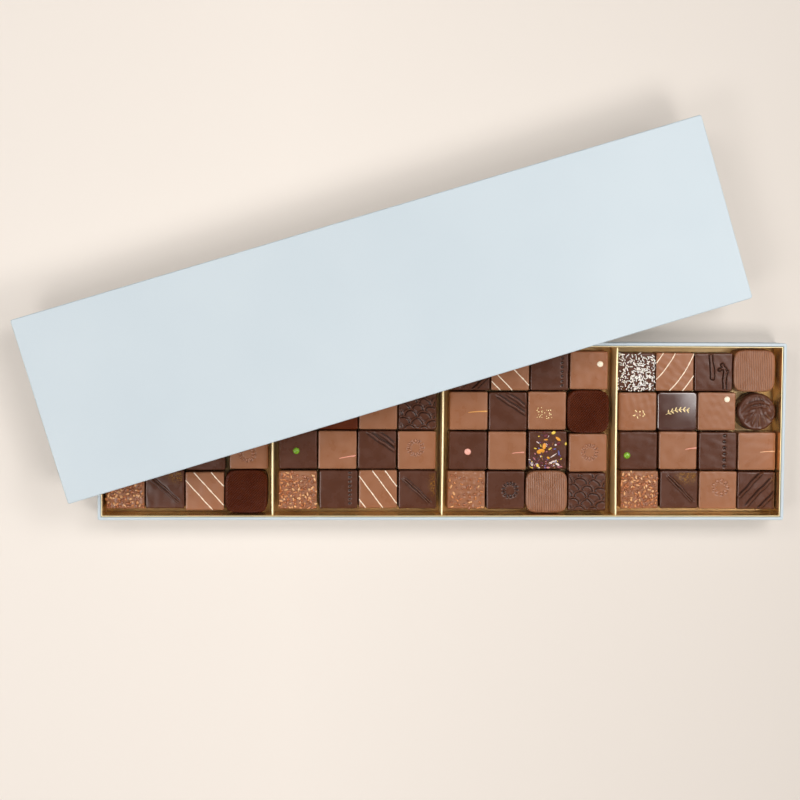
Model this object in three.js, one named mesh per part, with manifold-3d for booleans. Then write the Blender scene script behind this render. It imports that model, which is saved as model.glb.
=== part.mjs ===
// Box of chocolate pralines: a long board tray covered in paper, a gold card lining and three card
// dividers inside it, four compartments of four by four chocolates, and the loose lid, which lies
// level on the tray's rim, turned and pushed back, so that the front and the right end show.
// Millimetres, +Z up. The origin is the centre of the tray's underside, +X runs along the tray to
// the right and +Y to the back.
import * as THREE from "three";
import { mergeVertices } from "three/addons/utils/BufferGeometryUtils.js";
import Module from "manifold-3d";

const wasm = await Module();
wasm.setup();

// Driving dimensions
const GAP = 0.3; // between pieces that touch
const TRAY = { length: 437, width: 113.4, height: 26, wall: 2, floor: 2, corner: 1.4 };
const LINING = { thickness: 0.5, belowRim: 0.8 };
const DIVIDER = { thickness: 1.2, belowRim: 0.5, centres: [-108.45, -1.35, 109.75] };
const LID = { overhang: 2.1, depth: 25.4, wall: 1.7, top: 2, corner: 1.4, turn: 17, centre: [-39.25, 77.4] };

// Chocolate forms: outer width, depth where it differs, height, and how the outline is rounded
const SQUARE = { width: 24.8, height: 14, corner: 1.6 };
const MOULDED = { width: 25.8, depth: 25, height: 14.6, corner: 2.6 };
const COMBED = { width: 27.1, depth: 27.6, height: 15.6, exponent: 4.8, points: 16 };
const ROUND = { width: 25.2, depth: 24.6, height: 14.2, exponent: 2, points: 16 };
// The coating's profile from foot to top: height below the top, and how far in from the foot
const COAT = [
  { below: 1.4, inset: 0.2 },
  { below: 0.45, inset: 0.5 },
  { below: 0, inset: 1.4 },
];
const SOFT_COAT = [
  { below: 4.6, inset: 0.3 },
  { below: 1.3, inset: 1.1 },
  { below: 0, inset: 4.4 },
];

// Toppings
const EMBED = 0.8; // how deep a topping sits in the coating
const REACH = 11.7; // how far a line on the top runs from its centre
const BEAD = { radius: 0.85, height: 0.6, sides: 4 };
const DOT = { radius: 2.1, height: 1.1, sides: 7 };
const DRIZZLE = { width: 0.9, height: 0.4 };
const FORK_RIDGE = { width: 1.9, height: 0.9 };
const DASH = { width: 1.1, height: 0.5 };
const COMB = { teeth: 12, depth: 0.55 };

// How the pieces vary: turned either way, and higher or lower
const JITTER = { turn: 0.25, height: 0.35 };

const radians = (degrees) => (degrees * Math.PI) / 180;

// A repeatable random number source, from 0 to 1.
function randomSource(seed) {
  let state = seed * 7919 + 13;
  return () => {
    state = (state * 1664525 + 1013904223) % 4294967296;
    return state / 4294967296;
  };
}

// Solids

// A closed geometry as a solid that can be joined and cut.
function solid(geometry) {
  const bare = geometry.clone();
  bare.deleteAttribute("normal");
  bare.deleteAttribute("uv");
  const merged = mergeVertices(bare, 1e-4);
  return new wasm.Manifold(
    new wasm.Mesh({
      numProp: 3,
      vertProperties: merged.attributes.position.array,
      triVerts: new Uint32Array(merged.index.array),
    }),
  );
}

function geometryOf(manifold) {
  const mesh = manifold.getMesh();
  const geometry = new THREE.BufferGeometry();
  geometry.setAttribute("position", new THREE.Float32BufferAttribute(mesh.vertProperties, 3));
  geometry.setIndex(Array.from(mesh.triVerts));
  geometry.computeVertexNormals();
  return geometry;
}

function joined(geometries) {
  return geometries.map(solid).reduce((whole, next) => whole.add(next));
}

// A closed skin over rings of equally many points, each ring counter-clockwise seen from its end.
function loft(rings) {
  const count = rings[0].length;
  const geometry = new THREE.BufferGeometry().setFromPoints(rings.flat());
  const faces = [];
  for (let ring = 0; ring + 1 < rings.length; ring += 1) {
    for (let i = 0; i < count; i += 1) {
      const a = ring * count + i;
      const b = ring * count + ((i + 1) % count);
      faces.push(a, b, b + count, a, b + count, a + count);
    }
  }
  const last = (rings.length - 1) * count;
  for (let i = 1; i + 1 < count; i += 1) {
    faces.push(0, i + 1, i);
    faces.push(last, last + i, last + i + 1);
  }
  geometry.setIndex(faces);
  return geometry;
}

// Outlines

// A square with round corners, three points to a corner.
function squareRing(form, inset, z) {
  const reach = (size) => size / 2 - inset - form.corner;
  const ring = [];
  for (let quarter = 0; quarter < 4; quarter += 1) {
    const middle = radians(45 + 90 * quarter);
    const x = Math.sign(Math.cos(middle)) * reach(form.width);
    const y = Math.sign(Math.sin(middle)) * reach(form.depth ?? form.width);
    for (const step of [-45, 0, 45]) {
      const angle = middle + radians(step);
      ring.push(new THREE.Vector3(x + form.corner * Math.cos(angle), y + form.corner * Math.sin(angle), z));
    }
  }
  return ring;
}

// A superellipse: a circle at exponent 2, and a square with bulging sides at 4 or 5.
function superellipseRing(form, inset, z) {
  const half = (size) => size / 2 - inset;
  const rounded = (value) => Math.sign(value) * Math.abs(value) ** (2 / form.exponent);
  const ring = [];
  for (let i = 0; i < form.points; i += 1) {
    const angle = (2 * Math.PI * (i + 0.5)) / form.points;
    const x = half(form.width) * rounded(Math.cos(angle));
    const y = half(form.depth ?? form.width) * rounded(Math.sin(angle));
    ring.push(new THREE.Vector3(x, y, z));
  }
  return ring;
}

// A chocolate's body: upright sides, a rounded shoulder and a flat top, on the foot at z = 0.
function coatedBody(form, height, profile) {
  const ringAt = form.exponent ? superellipseRing : squareRing;
  const rings = profile.map(({ below, inset }) => ringAt(form, inset, height - below));
  return loft([ringAt(form, 0, 0), ...rings]);
}

// Toppings, each a closed form that reaches EMBED into the top at z = height

function bead(x, y, top, size) {
  const { radius, height, sides } = size;
  const geometry = new THREE.CylinderGeometry(radius / 2, radius, height + EMBED, sides);
  geometry.rotateX(Math.PI / 2);
  return geometry.translate(x, y, top + (height - EMBED) / 2);
}

function dome(x, y, top, size) {
  const rings = [
    { z: -EMBED, part: 1 },
    { z: 0.4 * size.height, part: 0.95 },
    { z: size.height, part: 0.5 },
  ];
  const circle = { width: 2, exponent: 2, points: size.sides };
  return loft(
    rings.map(({ z, part }) =>
      superellipseRing(circle, 0, 0).map(
        (p) => new THREE.Vector3(x + p.x * size.radius * part, y + p.y * size.radius * part, top + z),
      ),
    ),
  );
}

// A line of chocolate along points on the top, a four-cornered bar that narrows upwards.
function strand(points, top, size) {
  const rings = points.map((point, i) => {
    const before = points[Math.max(i - 1, 0)];
    const after = points[Math.min(i + 1, points.length - 1)];
    const side = new THREE.Vector2(before.y - after.y, after.x - before.x).normalize();
    const width = size.width * (point.part ?? 1);
    const height = size.height * (point.part ?? 1);
    const corner = (across, z) =>
      new THREE.Vector3(point.x + side.x * across * width, point.y + side.y * across * width, top + z);
    return [corner(0.5, -EMBED), corner(0.22, height), corner(-0.22, height), corner(-0.5, -EMBED)];
  });
  return loft(rings);
}

// A straight line at `offset` from the centre, cut where it leaves the top, with a slight bow.
function lineAcross(angle, offset, bow, steps) {
  const along = new THREE.Vector2(Math.cos(radians(angle)), Math.sin(radians(angle)));
  const middle = new THREE.Vector2(-along.y, along.x).multiplyScalar(offset);
  const limits = ["x", "y"].map((axis) => {
    const ends = [-REACH, REACH].map((edge) => (edge - middle[axis]) / along[axis]);
    return [Math.min(...ends), Math.max(...ends)];
  });
  const from = Math.max(limits[0][0], limits[1][0]);
  const to = Math.min(limits[0][1], limits[1][1]);
  const points = [];
  for (let i = 0; i <= steps; i += 1) {
    const t = i / steps;
    const run = from + (to - from) * t;
    const aside = bow * 4 * t * (1 - t);
    const x = middle.x + along.x * run - along.y * aside;
    const y = middle.y + along.y * run + along.x * aside;
    points.push(new THREE.Vector2(x, y));
  }
  return points;
}

function parallelLines({ angle, offsets, bow = 0, steps = 1, size }) {
  return (top) => offsets.map((offset) => strand(lineAcross(angle, offset, bow, steps), top, size));
}

// Chopped pieces of a given mean size, strewn over the top by a seeded draw.
function strewn({ count, make, spread = REACH - 1.2, centre = [0, 0] }) {
  return (top, random) => {
    const pieces = [];
    const columns = Math.ceil(Math.sqrt(count));
    for (let i = 0; i < count; i += 1) {
      // one piece to a cell of a square grid, so that they lie evenly
      const u = ((i % columns) + 0.15 + 0.7 * random()) / columns;
      const v = (Math.floor(i / columns) + 0.15 + 0.7 * random()) / Math.ceil(count / columns);
      const piece = make(random);
      piece.rotateZ(random() * 2 * Math.PI);
      const x = centre[0] + (2 * u - 1) * spread;
      const y = centre[1] + (2 * v - 1) * spread;
      pieces.push(piece.translate(x, y, top));
    }
    return pieces;
  };
}

function nutPiece(random) {
  const coarse = random() < 0.5;
  const piece = coarse ? new THREE.IcosahedronGeometry(1, 0) : new THREE.OctahedronGeometry(1, 0);
  const length = 1.1 + 0.7 * random();
  return piece.scale(length, 0.75 + 0.35 * random(), 0.75 + 0.3 * random()).rotateY(0.3 - 0.6 * random());
}

function coconutFlake(random) {
  const flake = new THREE.BoxGeometry(1.6 + 1.8 * random(), 0.75, 0.8);
  return flake.rotateY(0.35 - 0.7 * random());
}

function petalPiece(random) {
  const petal = new THREE.OctahedronGeometry(1, 0);
  return petal.scale(1 + 1.4 * random(), 0.7 + 0.5 * random(), 0.5).rotateY(0.3 - 0.6 * random());
}

function leafFleck(random) {
  return new THREE.OctahedronGeometry(1, 0).scale(0.7 + 0.5 * random(), 0.4, 0.35);
}

// A combed piece: the rounded body, cut with a block whose teeth run at `angle` from +X.
function combedBody(form, height, angle) {
  const reach = form.width;
  const pitch = form.width / COMB.teeth;
  const profile = new THREE.Shape();
  profile.moveTo(-reach, -1);
  profile.lineTo(reach, -1);
  profile.lineTo(reach, height - COMB.depth);
  for (let i = 0; i <= COMB.teeth; i += 1) {
    const x = form.width / 2 - i * pitch;
    profile.lineTo(x, height - COMB.depth);
    if (i < COMB.teeth) profile.lineTo(x - pitch / 2, height);
  }
  profile.lineTo(-reach, height - COMB.depth);
  const block = new THREE.ExtrudeGeometry(profile, { depth: 2 * reach, bevelEnabled: false });
  block.translate(0, 0, -reach);
  block.rotateX(Math.PI / 2);
  block.rotateZ(radians(angle - 90));
  return solid(coatedBody(form, height, COAT)).intersect(solid(block));
}

// Kinds of praline. Each says its name, its chocolate, its form and what lies on its top.

const square = (name, chocolate, topping) => ({ name, chocolate, form: SQUARE, topping });
const plain = (chocolate) => square("plain", chocolate);
const nuts = () => square("nuts", "milk", strewn({ count: 16, make: nutPiece }));
const coconut = () => square("coconut", "dark", strewn({ count: 30, make: coconutFlake }));
const petals = () => square("petals", "dark", strewn({ count: 16, make: petalPiece, spread: 8.5 }));
const goldLeaf = (x, y, spread) =>
  square("gold_leaf", "milk", strewn({ count: 8, make: leafFleck, spread, centre: [x, y] }));
const plaque = () => ({ name: "plaque", chocolate: "dark", form: MOULDED });
const combed = (chocolate, angle) => ({ name: "combed", chocolate, form: COMBED, combAngle: angle });

const drizzle = (angle, offsets, bow = 0) =>
  square("drizzle", "milk", parallelLines({ angle, offsets, bow, steps: bow ? 2 : 1, size: DRIZZLE }));
const forkRidges = (angle, offsets) =>
  square("fork_ridges", "dark", parallelLines({ angle, offsets, size: FORK_RIDGE }));
const goldDust = (angle, offset) =>
  square("gold_dust", "dark", parallelLines({ angle, offsets: [offset], size: FORK_RIDGE }));

const dot = (name, chocolate, x, y) => square(name, chocolate, (top) => [dome(x, y, top, DOT)]);

function dash(name, from, to) {
  const ends = [new THREE.Vector2(...from), new THREE.Vector2(...to)];
  return square(name, "milk", (top) => [strand(ends, top, DASH)]);
}

// A ring of small beads round a point of the top.
function beadRing(chocolate, x, y) {
  const count = 9;
  const radius = 4.3;
  return square("bead_ring", chocolate, (top) =>
    Array.from({ length: count }, (_, i) => {
      const angle = (2 * Math.PI * i) / count;
      return bead(x + radius * Math.cos(angle), y + radius * Math.sin(angle), top, BEAD);
    }),
  );
}

// A row of small beads at x, from the one at `from` towards the front edge.
function beadColumn(x, from, count, spacing) {
  return square("bead_column", "dark", (top) =>
    Array.from({ length: count }, (_, i) => bead(x, from - spacing * i, top, BEAD)),
  );
}

// Two long drops that ran from the back towards the front.
function drips() {
  const drop = (from, to) =>
    [0.6, 1, 0.7, 1.25, 0.5].map((part, i) => {
      const point = new THREE.Vector2(...from).lerp(new THREE.Vector2(...to), i / 4);
      point.part = part;
      return point;
    });
  const size = { width: 2.2, height: 1.1 };
  return square("drips", "dark", (top) => [
    strand(drop([-2.5, 11.2], [-0.4, -4.5]), top, size),
    strand(drop([6.2, 2.8], [8.2, -10.8]), top, size),
  ]);
}

// Cushions in offset rows, like scales.
function quilted() {
  const pitch = 7.2;
  const size = { radius: 3.7, crown: 2.3, height: 0.7, margin: 2.6 };
  return square("quilted", "dark", (top) => {
    const cushions = [];
    for (let row = -2; row <= 2; row += 1) {
      const shift = row % 2 ? 0 : pitch / 2;
      for (let column = -2; column <= 1; column += 1) {
        const x = column * pitch + shift;
        const y = (row * pitch) / 2;
        if (Math.max(Math.abs(x), Math.abs(y)) > REACH - size.margin) continue;
        const cushion = new THREE.CylinderGeometry(size.crown, size.radius, size.height + EMBED, 4);
        cushion.rotateX(Math.PI / 2);
        cushions.push(cushion.translate(x, y, top + (size.height - EMBED) / 2));
      }
    }
    return cushions;
  });
}

// A round piece whose soft top has drawn into folds.
function wrinkled() {
  const folds = [
    { from: [-9, 3.5], by: [-2, 6.6], to: [7, 7.2] },
    { from: [-7, -1.5], by: [-1, 1.6], to: [5, 1.8] },
    { from: [-5, -6.5], by: [-2.5, -3], to: [-1.5, 0.5] },
    { from: [0, -8], by: [1.2, -4.5], to: [0.8, -1] },
    { from: [5.5, -7], by: [5.2, -3.5], to: [3.5, -0.6] },
  ];
  const size = { width: 2.2, height: 0.8 };
  const lowered = 0.25; // the folds' ends run out on the rounded top
  const topping = (top) =>
    folds.map(({ from, by, to }) => {
      const path = new THREE.QuadraticBezierCurve(
        new THREE.Vector2(...from),
        new THREE.Vector2(...by),
        new THREE.Vector2(...to),
      );
      const points = path.getPoints(3);
      points.forEach((point, i) => {
        point.part = 0.35 + 0.65 * Math.sin((Math.PI * i) / 3);
      });
      return strand(points, top - lowered, size);
    });
  return { name: "wrinkled", chocolate: "dark", form: ROUND, profile: SOFT_COAT, topping };
}

const creamDot = (x, y) => dot("cream_dot", "milk", x, y);
const greenDot = (x, y) => dot("green_dot", "dark", x, y);
const pinkDot = (x, y) => dot("pink_dot", "dark", x, y);
const pinkDash = (from, to) => dash("pink_dash", from, to);
const paleDash = (from, to) => dash("pale_dash", from, to);
const goldDash = (from, to) => dash("gold_dash", from, to);

// Parallel lines on the tops, each at its offset from the centre
const THREE_RIDGES = [5.3, -2.1, -9.7];
const SLANTED_DRIZZLE = [-4.3, 2.9, 11];
const STEEP_DRIZZLE = [-13.4, -4.6, 4.2, 10.7];
const NEAR_DRIZZLE = [-13, -7.4, 2.5];
const BOWED_DRIZZLE = [13.9, 7, -4.3, -10.5];

// What lies where. Compartments a to d from the left, rows 1 to 4 from the back, and in each row the
// pieces from the left: the centre's x and y, and the kind.
const ROWS = {
  a1: [
    [-201.9, 37.8, plain("dark")],
    [-177.22, 37.8, creamDot(6.8, 7)],
    [-152.54, 37.8, plain("dark")],
    [-127.86, 37.8, paleDash([2, -1], [11, -0.5])],
  ],
  a2: [
    [-201.7, 12.5, paleDash([2, -1], [11, 0])],
    [-177.02, 12.5, plain("dark")],
    [-152.34, 12.5, creamDot(7, 6)],
    [-127.66, 12.5, plain("dark")],
  ],
  a3: [
    [-202.2, -12.9, greenDot(-5, -2)],
    [-177.52, -12.9, plain("milk")],
    [-151.3, -13.6, plain("dark")],
    [-124, -12.85, beadRing("milk", -1.4, -2.2)],
  ],
  a4: [
    [-202.3, -38.2, nuts()],
    [-177.1, -38.1, goldDust(-42, -0.2)],
    [-151.95, -39.3, drizzle(-48, SLANTED_DRIZZLE)],
    [-125.6, -39.5, combed("bitter", 47)],
  ],
  b1: [
    [-92.5, 37.8, plain("dark")],
    [-67.82, 37.8, plain("milk")],
    [-43.14, 37.8, pinkDot(0, 0)],
    [-18.46, 37.8, creamDot(6.8, 7)],
  ],
  b2: [
    [-92.4, 12.6, plain("milk")],
    [-67.15, 12.5, plain("bitter")],
    [-41.95, 12.6, plain("milk")],
    [-16.75, 12.5, quilted()],
  ],
  b3: [
    [-93, -12.7, greenDot(-1, -0.7)],
    [-67.8, -12.8, pinkDash([1.1, -5.5], [11.6, -3.5])],
    [-42.6, -12.7, forkRidges(-35, [5.9, 9.3])],
    [-17.1, -12.95, beadRing("milk", -1.1, 1.9)],
  ],
  b4: [
    [-93, -38.5, nuts()],
    [-67.05, -38.2, beadColumn(7.1, 11, 8, 2.8)],
    [-41.85, -37.95, drizzle(-53.5, STEEP_DRIZZLE)],
    [-16.5, -38.2, goldDust(-43, -0.9)],
  ],
  c1: [
    [17.1, 37.8, forkRidges(47, THREE_RIDGES)],
    [42.35, 37.8, drizzle(-46, NEAR_DRIZZLE)],
    [67.55, 37.9, beadColumn(8, 11.5, 8, 2.9)],
    [93, 38.6, creamDot(7, 4.1)],
  ],
  c2: [
    [15.85, 12.4, goldDash([-0.3, -1], [11.7, -0.1])],
    [41.05, 12.15, forkRidges(-34, [4.7, 8.9])],
    [66.25, 12.6, goldLeaf(-1.7, -1.4, 4.6)],
    [92.6, 12.15, combed("bitter", 50)],
  ],
  c3: [
    [15.5, -13.1, pinkDot(-0.1, -0.7)],
    [40.8, -13.1, pinkDash([3.1, -1.7], [10.9, -0.9])],
    [66.8, -12.6, petals()],
    [92.9, -14.3, beadRing("milk", 1, 0.7)],
  ],
  c4: [
    [14.7, -38.4, nuts()],
    [40, -38.5, beadRing("dark", 2.8, 0.3)],
    [66.4, -39.5, combed("milk", 90)],
    [92.75, -39.55, quilted()],
  ],
  d1: [
    [123.1, 37.8, coconut()],
    [148.35, 37.9, drizzle(55, BOWED_DRIZZLE, -0.9)],
    [173.55, 37.8, drips()],
    [199.95, 38.8, combed("milk", 90)],
  ],
  d2: [
    [124.7, 12.3, goldLeaf(1, -1.7, 3.6)],
    [150.4, 12.5, plaque()],
    [176.15, 12.5, creamDot(6.5, 7.8)],
    [202.3, 12.2, wrinkled()],
  ],
  d3: [
    [125.5, -12.95, greenDot(-7.3, -3.1)],
    [151.3, -12.8, pinkDash([4.7, 0.7], [11.7, 1.9])],
    [177.25, -13.1, beadColumn(4.2, 10, 6, 3.9)],
    [202.7, -13.2, paleDash([2.1, -0.6], [11.5, 0.1])],
  ],
  d4: [
    [126.5, -38.2, nuts()],
    [152.3, -38, goldDust(-46, 0.8)],
    [177.6, -38.35, beadRing("milk", 1.6, 2.1)],
    [202.85, -38.7, forkRidges(47, THREE_RIDGES)],
  ],
};
// How many of a row's first pieces touch and stick at the foot
const STUCK = { a1: 4, a2: 4, a3: 2, b1: 4 };

// Materials

const CHOCOLATE = {
  milk: new THREE.MeshStandardMaterial({ color: 0x9a6c54, roughness: 0.5, metalness: 0 }),
  dark: new THREE.MeshStandardMaterial({ color: 0x5e4438, roughness: 0.4, metalness: 0 }),
  bitter: new THREE.MeshStandardMaterial({ color: 0x41200f, roughness: 0.45, metalness: 0 }),
};
const BLUE_PAPER = new THREE.MeshStandardMaterial({ color: 0xd0dce3, roughness: 0.75, metalness: 0 });
const GOLD_CARD = new THREE.MeshStandardMaterial({ color: 0xe0b878, roughness: 0.35, metalness: 0.8 });

const box = new THREE.Group();

function addPiece(name, geometry, material, parent = box) {
  const mesh = new THREE.Mesh(geometry, material);
  mesh.name = name;
  parent.add(mesh);
  return mesh;
}

// The board pieces

function roundedRectangle(length, width, corner) {
  const shape = new THREE.Shape();
  const x = length / 2 - corner;
  const y = width / 2 - corner;
  shape.absarc(x, -y, corner, -Math.PI / 2, 0);
  shape.absarc(x, y, corner, 0, Math.PI / 2);
  shape.absarc(-x, y, corner, Math.PI / 2, Math.PI);
  shape.absarc(-x, -y, corner, Math.PI, 1.5 * Math.PI);
  return shape;
}

// An open box on z = 0: a block with round upright edges, hollowed from above.
function openBox({ length, width, height, wall, floor, corner }) {
  const outline = roundedRectangle(length, width, corner);
  const block = new THREE.ExtrudeGeometry(outline, { depth: height, bevelEnabled: false, curveSegments: 3 });
  const hollow = new THREE.BoxGeometry(length - 2 * wall, width - 2 * wall, height);
  hollow.translate(0, 0, floor + height / 2);
  return geometryOf(solid(block).subtract(solid(hollow)));
}

const liningLength = TRAY.length - 2 * (TRAY.wall + GAP);
const liningWidth = TRAY.width - 2 * (TRAY.wall + GAP);
const liningFoot = TRAY.floor + GAP;
const insideFloor = liningFoot + LINING.thickness + GAP;

function addTray() {
  addPiece("tray", openBox(TRAY), BLUE_PAPER);
  const lining = {
    length: liningLength,
    width: liningWidth,
    height: TRAY.height - LINING.belowRim - liningFoot,
    wall: LINING.thickness,
    floor: LINING.thickness,
    corner: 0.4,
  };
  addPiece("gold_lining", openBox(lining), GOLD_CARD).position.z = liningFoot;
}

function addDividers() {
  const width = liningWidth - 2 * (LINING.thickness + GAP);
  const height = TRAY.height - DIVIDER.belowRim - insideFloor;
  DIVIDER.centres.forEach((x, i) => {
    const sheet = new THREE.BoxGeometry(DIVIDER.thickness, width, height);
    addPiece(`divider_${i + 1}`, sheet, GOLD_CARD).position.set(x, 0, insideFloor + height / 2);
  });
}

function addLid() {
  const place = new THREE.Group();
  place.position.set(LID.centre[0], LID.centre[1], TRAY.height + GAP);
  place.rotation.z = radians(LID.turn);
  box.add(place);
  const shell = {
    length: TRAY.length + 2 * LID.overhang,
    width: TRAY.width + 2 * LID.overhang,
    height: LID.depth,
    wall: LID.wall,
    floor: LID.top,
    corner: LID.corner,
  };
  const lid = addPiece("lid", openBox(shell), BLUE_PAPER, place);
  lid.rotation.x = Math.PI;
  lid.position.z = LID.depth;
}

// The pralines

// One praline's solid, on the foot at z = 0 and centred on the origin.
function pralineSolid(kind, random) {
  const height = kind.form.height + JITTER.height * (2 * random() - 1);
  if (kind.combAngle !== undefined) return combedBody(kind.form, height, kind.combAngle);
  const body = coatedBody(kind.form, height, kind.profile ?? COAT);
  const toppings = kind.topping ? kind.topping(height, random) : [];
  return joined([body, ...toppings]);
}

function addRow(row, pieces) {
  const stuck = STUCK[row] ?? 0;
  const clump = [];
  pieces.forEach(([x, y, kind], column) => {
    const random = randomSource((row.charCodeAt(0) * 5 + Number(row[1]) - 1) * 5 + column);
    const piece = pralineSolid(kind, random);
    if (column < stuck) {
      clump.push(piece.translate([x, 0, 0]));
      return;
    }
    const name = `${kind.name}_${row}${column + 1}`;
    const mesh = addPiece(name, geometryOf(piece), CHOCOLATE[kind.chocolate]);
    mesh.position.set(x, y, insideFloor);
    mesh.rotation.z = radians(JITTER.turn * (2 * random() - 1));
  });
  if (stuck) {
    const whole = clump.reduce((sum, next) => sum.add(next));
    addPiece(`stuck_${stuck}_${row}`, geometryOf(whole), CHOCOLATE.dark).position.set(0, pieces[0][1], insideFloor);
  }
}

addTray();
addDividers();
addLid();
for (const [row, pieces] of Object.entries(ROWS)) {
  addRow(row, pieces);
}

export default box;
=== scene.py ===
"""The looks of the box of chocolate pralines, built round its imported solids.

Sizes in the classes are millimetres and become metres where a mesh is made. Every piece keeps the
place of the solid that it replaces, which it reads from the frame.
"""

import logging
import math
from dataclasses import dataclass, field
from enum import Enum
from typing import Callable, Sequence

import bpy
import numpy as np
from mathutils import Matrix, Vector


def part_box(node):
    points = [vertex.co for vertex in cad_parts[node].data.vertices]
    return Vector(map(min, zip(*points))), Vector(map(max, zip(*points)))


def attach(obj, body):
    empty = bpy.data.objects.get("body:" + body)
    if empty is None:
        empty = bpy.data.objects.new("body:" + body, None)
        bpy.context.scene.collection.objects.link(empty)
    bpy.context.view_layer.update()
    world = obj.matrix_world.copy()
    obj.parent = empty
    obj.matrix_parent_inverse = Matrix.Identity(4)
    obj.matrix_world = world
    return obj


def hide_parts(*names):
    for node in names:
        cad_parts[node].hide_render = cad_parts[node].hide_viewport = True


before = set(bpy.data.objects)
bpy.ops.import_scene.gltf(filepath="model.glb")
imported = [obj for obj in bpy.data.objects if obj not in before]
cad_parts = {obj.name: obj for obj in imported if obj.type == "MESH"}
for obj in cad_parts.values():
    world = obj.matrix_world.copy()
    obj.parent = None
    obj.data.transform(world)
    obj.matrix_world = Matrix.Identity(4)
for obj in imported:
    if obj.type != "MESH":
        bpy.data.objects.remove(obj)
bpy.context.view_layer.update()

LOG = logging.getLogger("praline_box")
MM = 0.001
Colour = tuple[float, float, float]
Points = np.ndarray
Relief = Callable[[Points, Points], Points]


def linear(red: int, green: int, blue: int) -> Colour:
    """A colour given as display values from 0 to 255, in the renderer's linear light.

    Args:
        red: display value of the red channel.
        green: display value of the green channel.
        blue: display value of the blue channel.

    Returns:
        The three linear channels.
    """
    values = np.array([red, green, blue]) / 255
    low = values / 12.92
    high = ((values + 0.055) / 1.055) ** 2.4
    return tuple(float(v) for v in np.where(values <= 0.04045, low, high))


class Nodes:
    """Adds and joins the nodes of one tree, of a material or of Geometry Nodes."""

    def __init__(self, tree: bpy.types.NodeTree) -> None:
        """Starts on a tree."""
        self.tree = tree

    def add(self, kind: str, inputs: dict | None = None, **settings: object) -> bpy.types.Node:
        """Adds one node.

        Args:
            kind: Blender's name of the node type.
            inputs: values or output sockets by input name or number.
            settings: the node's own properties.

        Returns:
            The new node.
        """
        node = self.tree.nodes.new(kind)
        for key, value in settings.items():
            setattr(node, key, value)
        self.fill(node, inputs or {})
        return node

    def fill(self, node: bpy.types.Node, inputs: dict) -> None:
        """Gives a node's inputs, by name or number, their values or the outputs that feed them."""
        for key, value in inputs.items():
            self.put(node.inputs[key], value)

    def put(self, socket: bpy.types.NodeSocket, value: object) -> None:
        """Gives an input its value, or joins it to an output.

        Args:
            socket: the input.
            value: a plain value, or the output socket that feeds it.
        """
        if isinstance(value, bpy.types.NodeSocket):
            self.tree.links.new(value, socket)
        else:
            socket.default_value = value

    def math(self, operation: str, first: object, second: object = 0.0) -> bpy.types.NodeSocket:
        """Adds a Math node."""
        return self.add("ShaderNodeMath", {0: first, 1: second}, operation=operation).outputs[0]

    def vector(self, operation: str, inputs: dict, output: str = "Vector") -> bpy.types.NodeSocket:
        """Adds a Vector Math node and gives one of its outputs."""
        return self.add("ShaderNodeVectorMath", inputs, operation=operation).outputs[output]

    def part(self, vector: object, axis: str) -> bpy.types.NodeSocket:
        """Takes one axis out of a vector."""
        return self.add("ShaderNodeSeparateXYZ", {"Vector": vector}).outputs[axis]

    def bump(self, height: object, strength: float, distance: float) -> bpy.types.NodeSocket:
        """Adds a Bump node and gives its normal; the distance is in metres."""
        inputs = {"Height": height, "Strength": strength, "Distance": distance}
        return self.add("ShaderNodeBump", inputs).outputs["Normal"]

    def cells(self, vector: object, scale: float) -> bpy.types.NodeSocket:
        """Adds a Voronoi Texture and gives the distance to its nearest point."""
        return self.add("ShaderNodeTexVoronoi", {"Vector": vector, "Scale": scale}).outputs["Distance"]

    def noise(self, vector: object, scale: object, detail: float = 3.0) -> bpy.types.Node:
        """Adds a Noise Texture."""
        return self.add("ShaderNodeTexNoise", {"Vector": vector, "Scale": scale, "Detail": detail})

    def spread(self, value: object, low: object, high: object, to_low: float = 0.0,
               to_high: float = 1.0) -> bpy.types.NodeSocket:
        """Stretches a value's range with a Map Range node."""
        ends = {"Value": value, "From Min": low, "From Max": high, "To Min": to_low, "To Max": to_high}
        return self.add("ShaderNodeMapRange", ends).outputs["Result"]

    def blend(self, factor: object, first: object, second: object) -> bpy.types.NodeSocket:
        """Mixes two colours.

        Args:
            factor: how much of the second colour is taken.
            first: the first colour or socket.
            second: the second colour or socket.

        Returns:
            The mixed colour.
        """
        node = self.add("ShaderNodeMix", data_type="RGBA")
        self.put(node.inputs[0], factor)
        for socket, value in ((node.inputs[6], first), (node.inputs[7], second)):
            plain = isinstance(value, tuple)
            self.put(socket, (*value, 1.0) if plain else value)
        return node.outputs[2]


# Finishes


@dataclass(frozen=True)
class Finish:
    """What every finish has: a name and a shader on the object's own coordinates."""

    name: str

    def start(self) -> tuple[bpy.types.Material, Nodes, bpy.types.Node, bpy.types.NodeSocket]:
        """Makes the empty material.

        Returns:
            The material, its node maker, its Principled shader and the Object coordinates.
        """
        material = bpy.data.materials.new(self.name)
        material.use_nodes = True
        nodes = Nodes(material.node_tree)
        shader = material.node_tree.nodes["Principled BSDF"]
        place = nodes.add("ShaderNodeTexCoord").outputs["Object"]
        return material, nodes, shader, place


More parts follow.
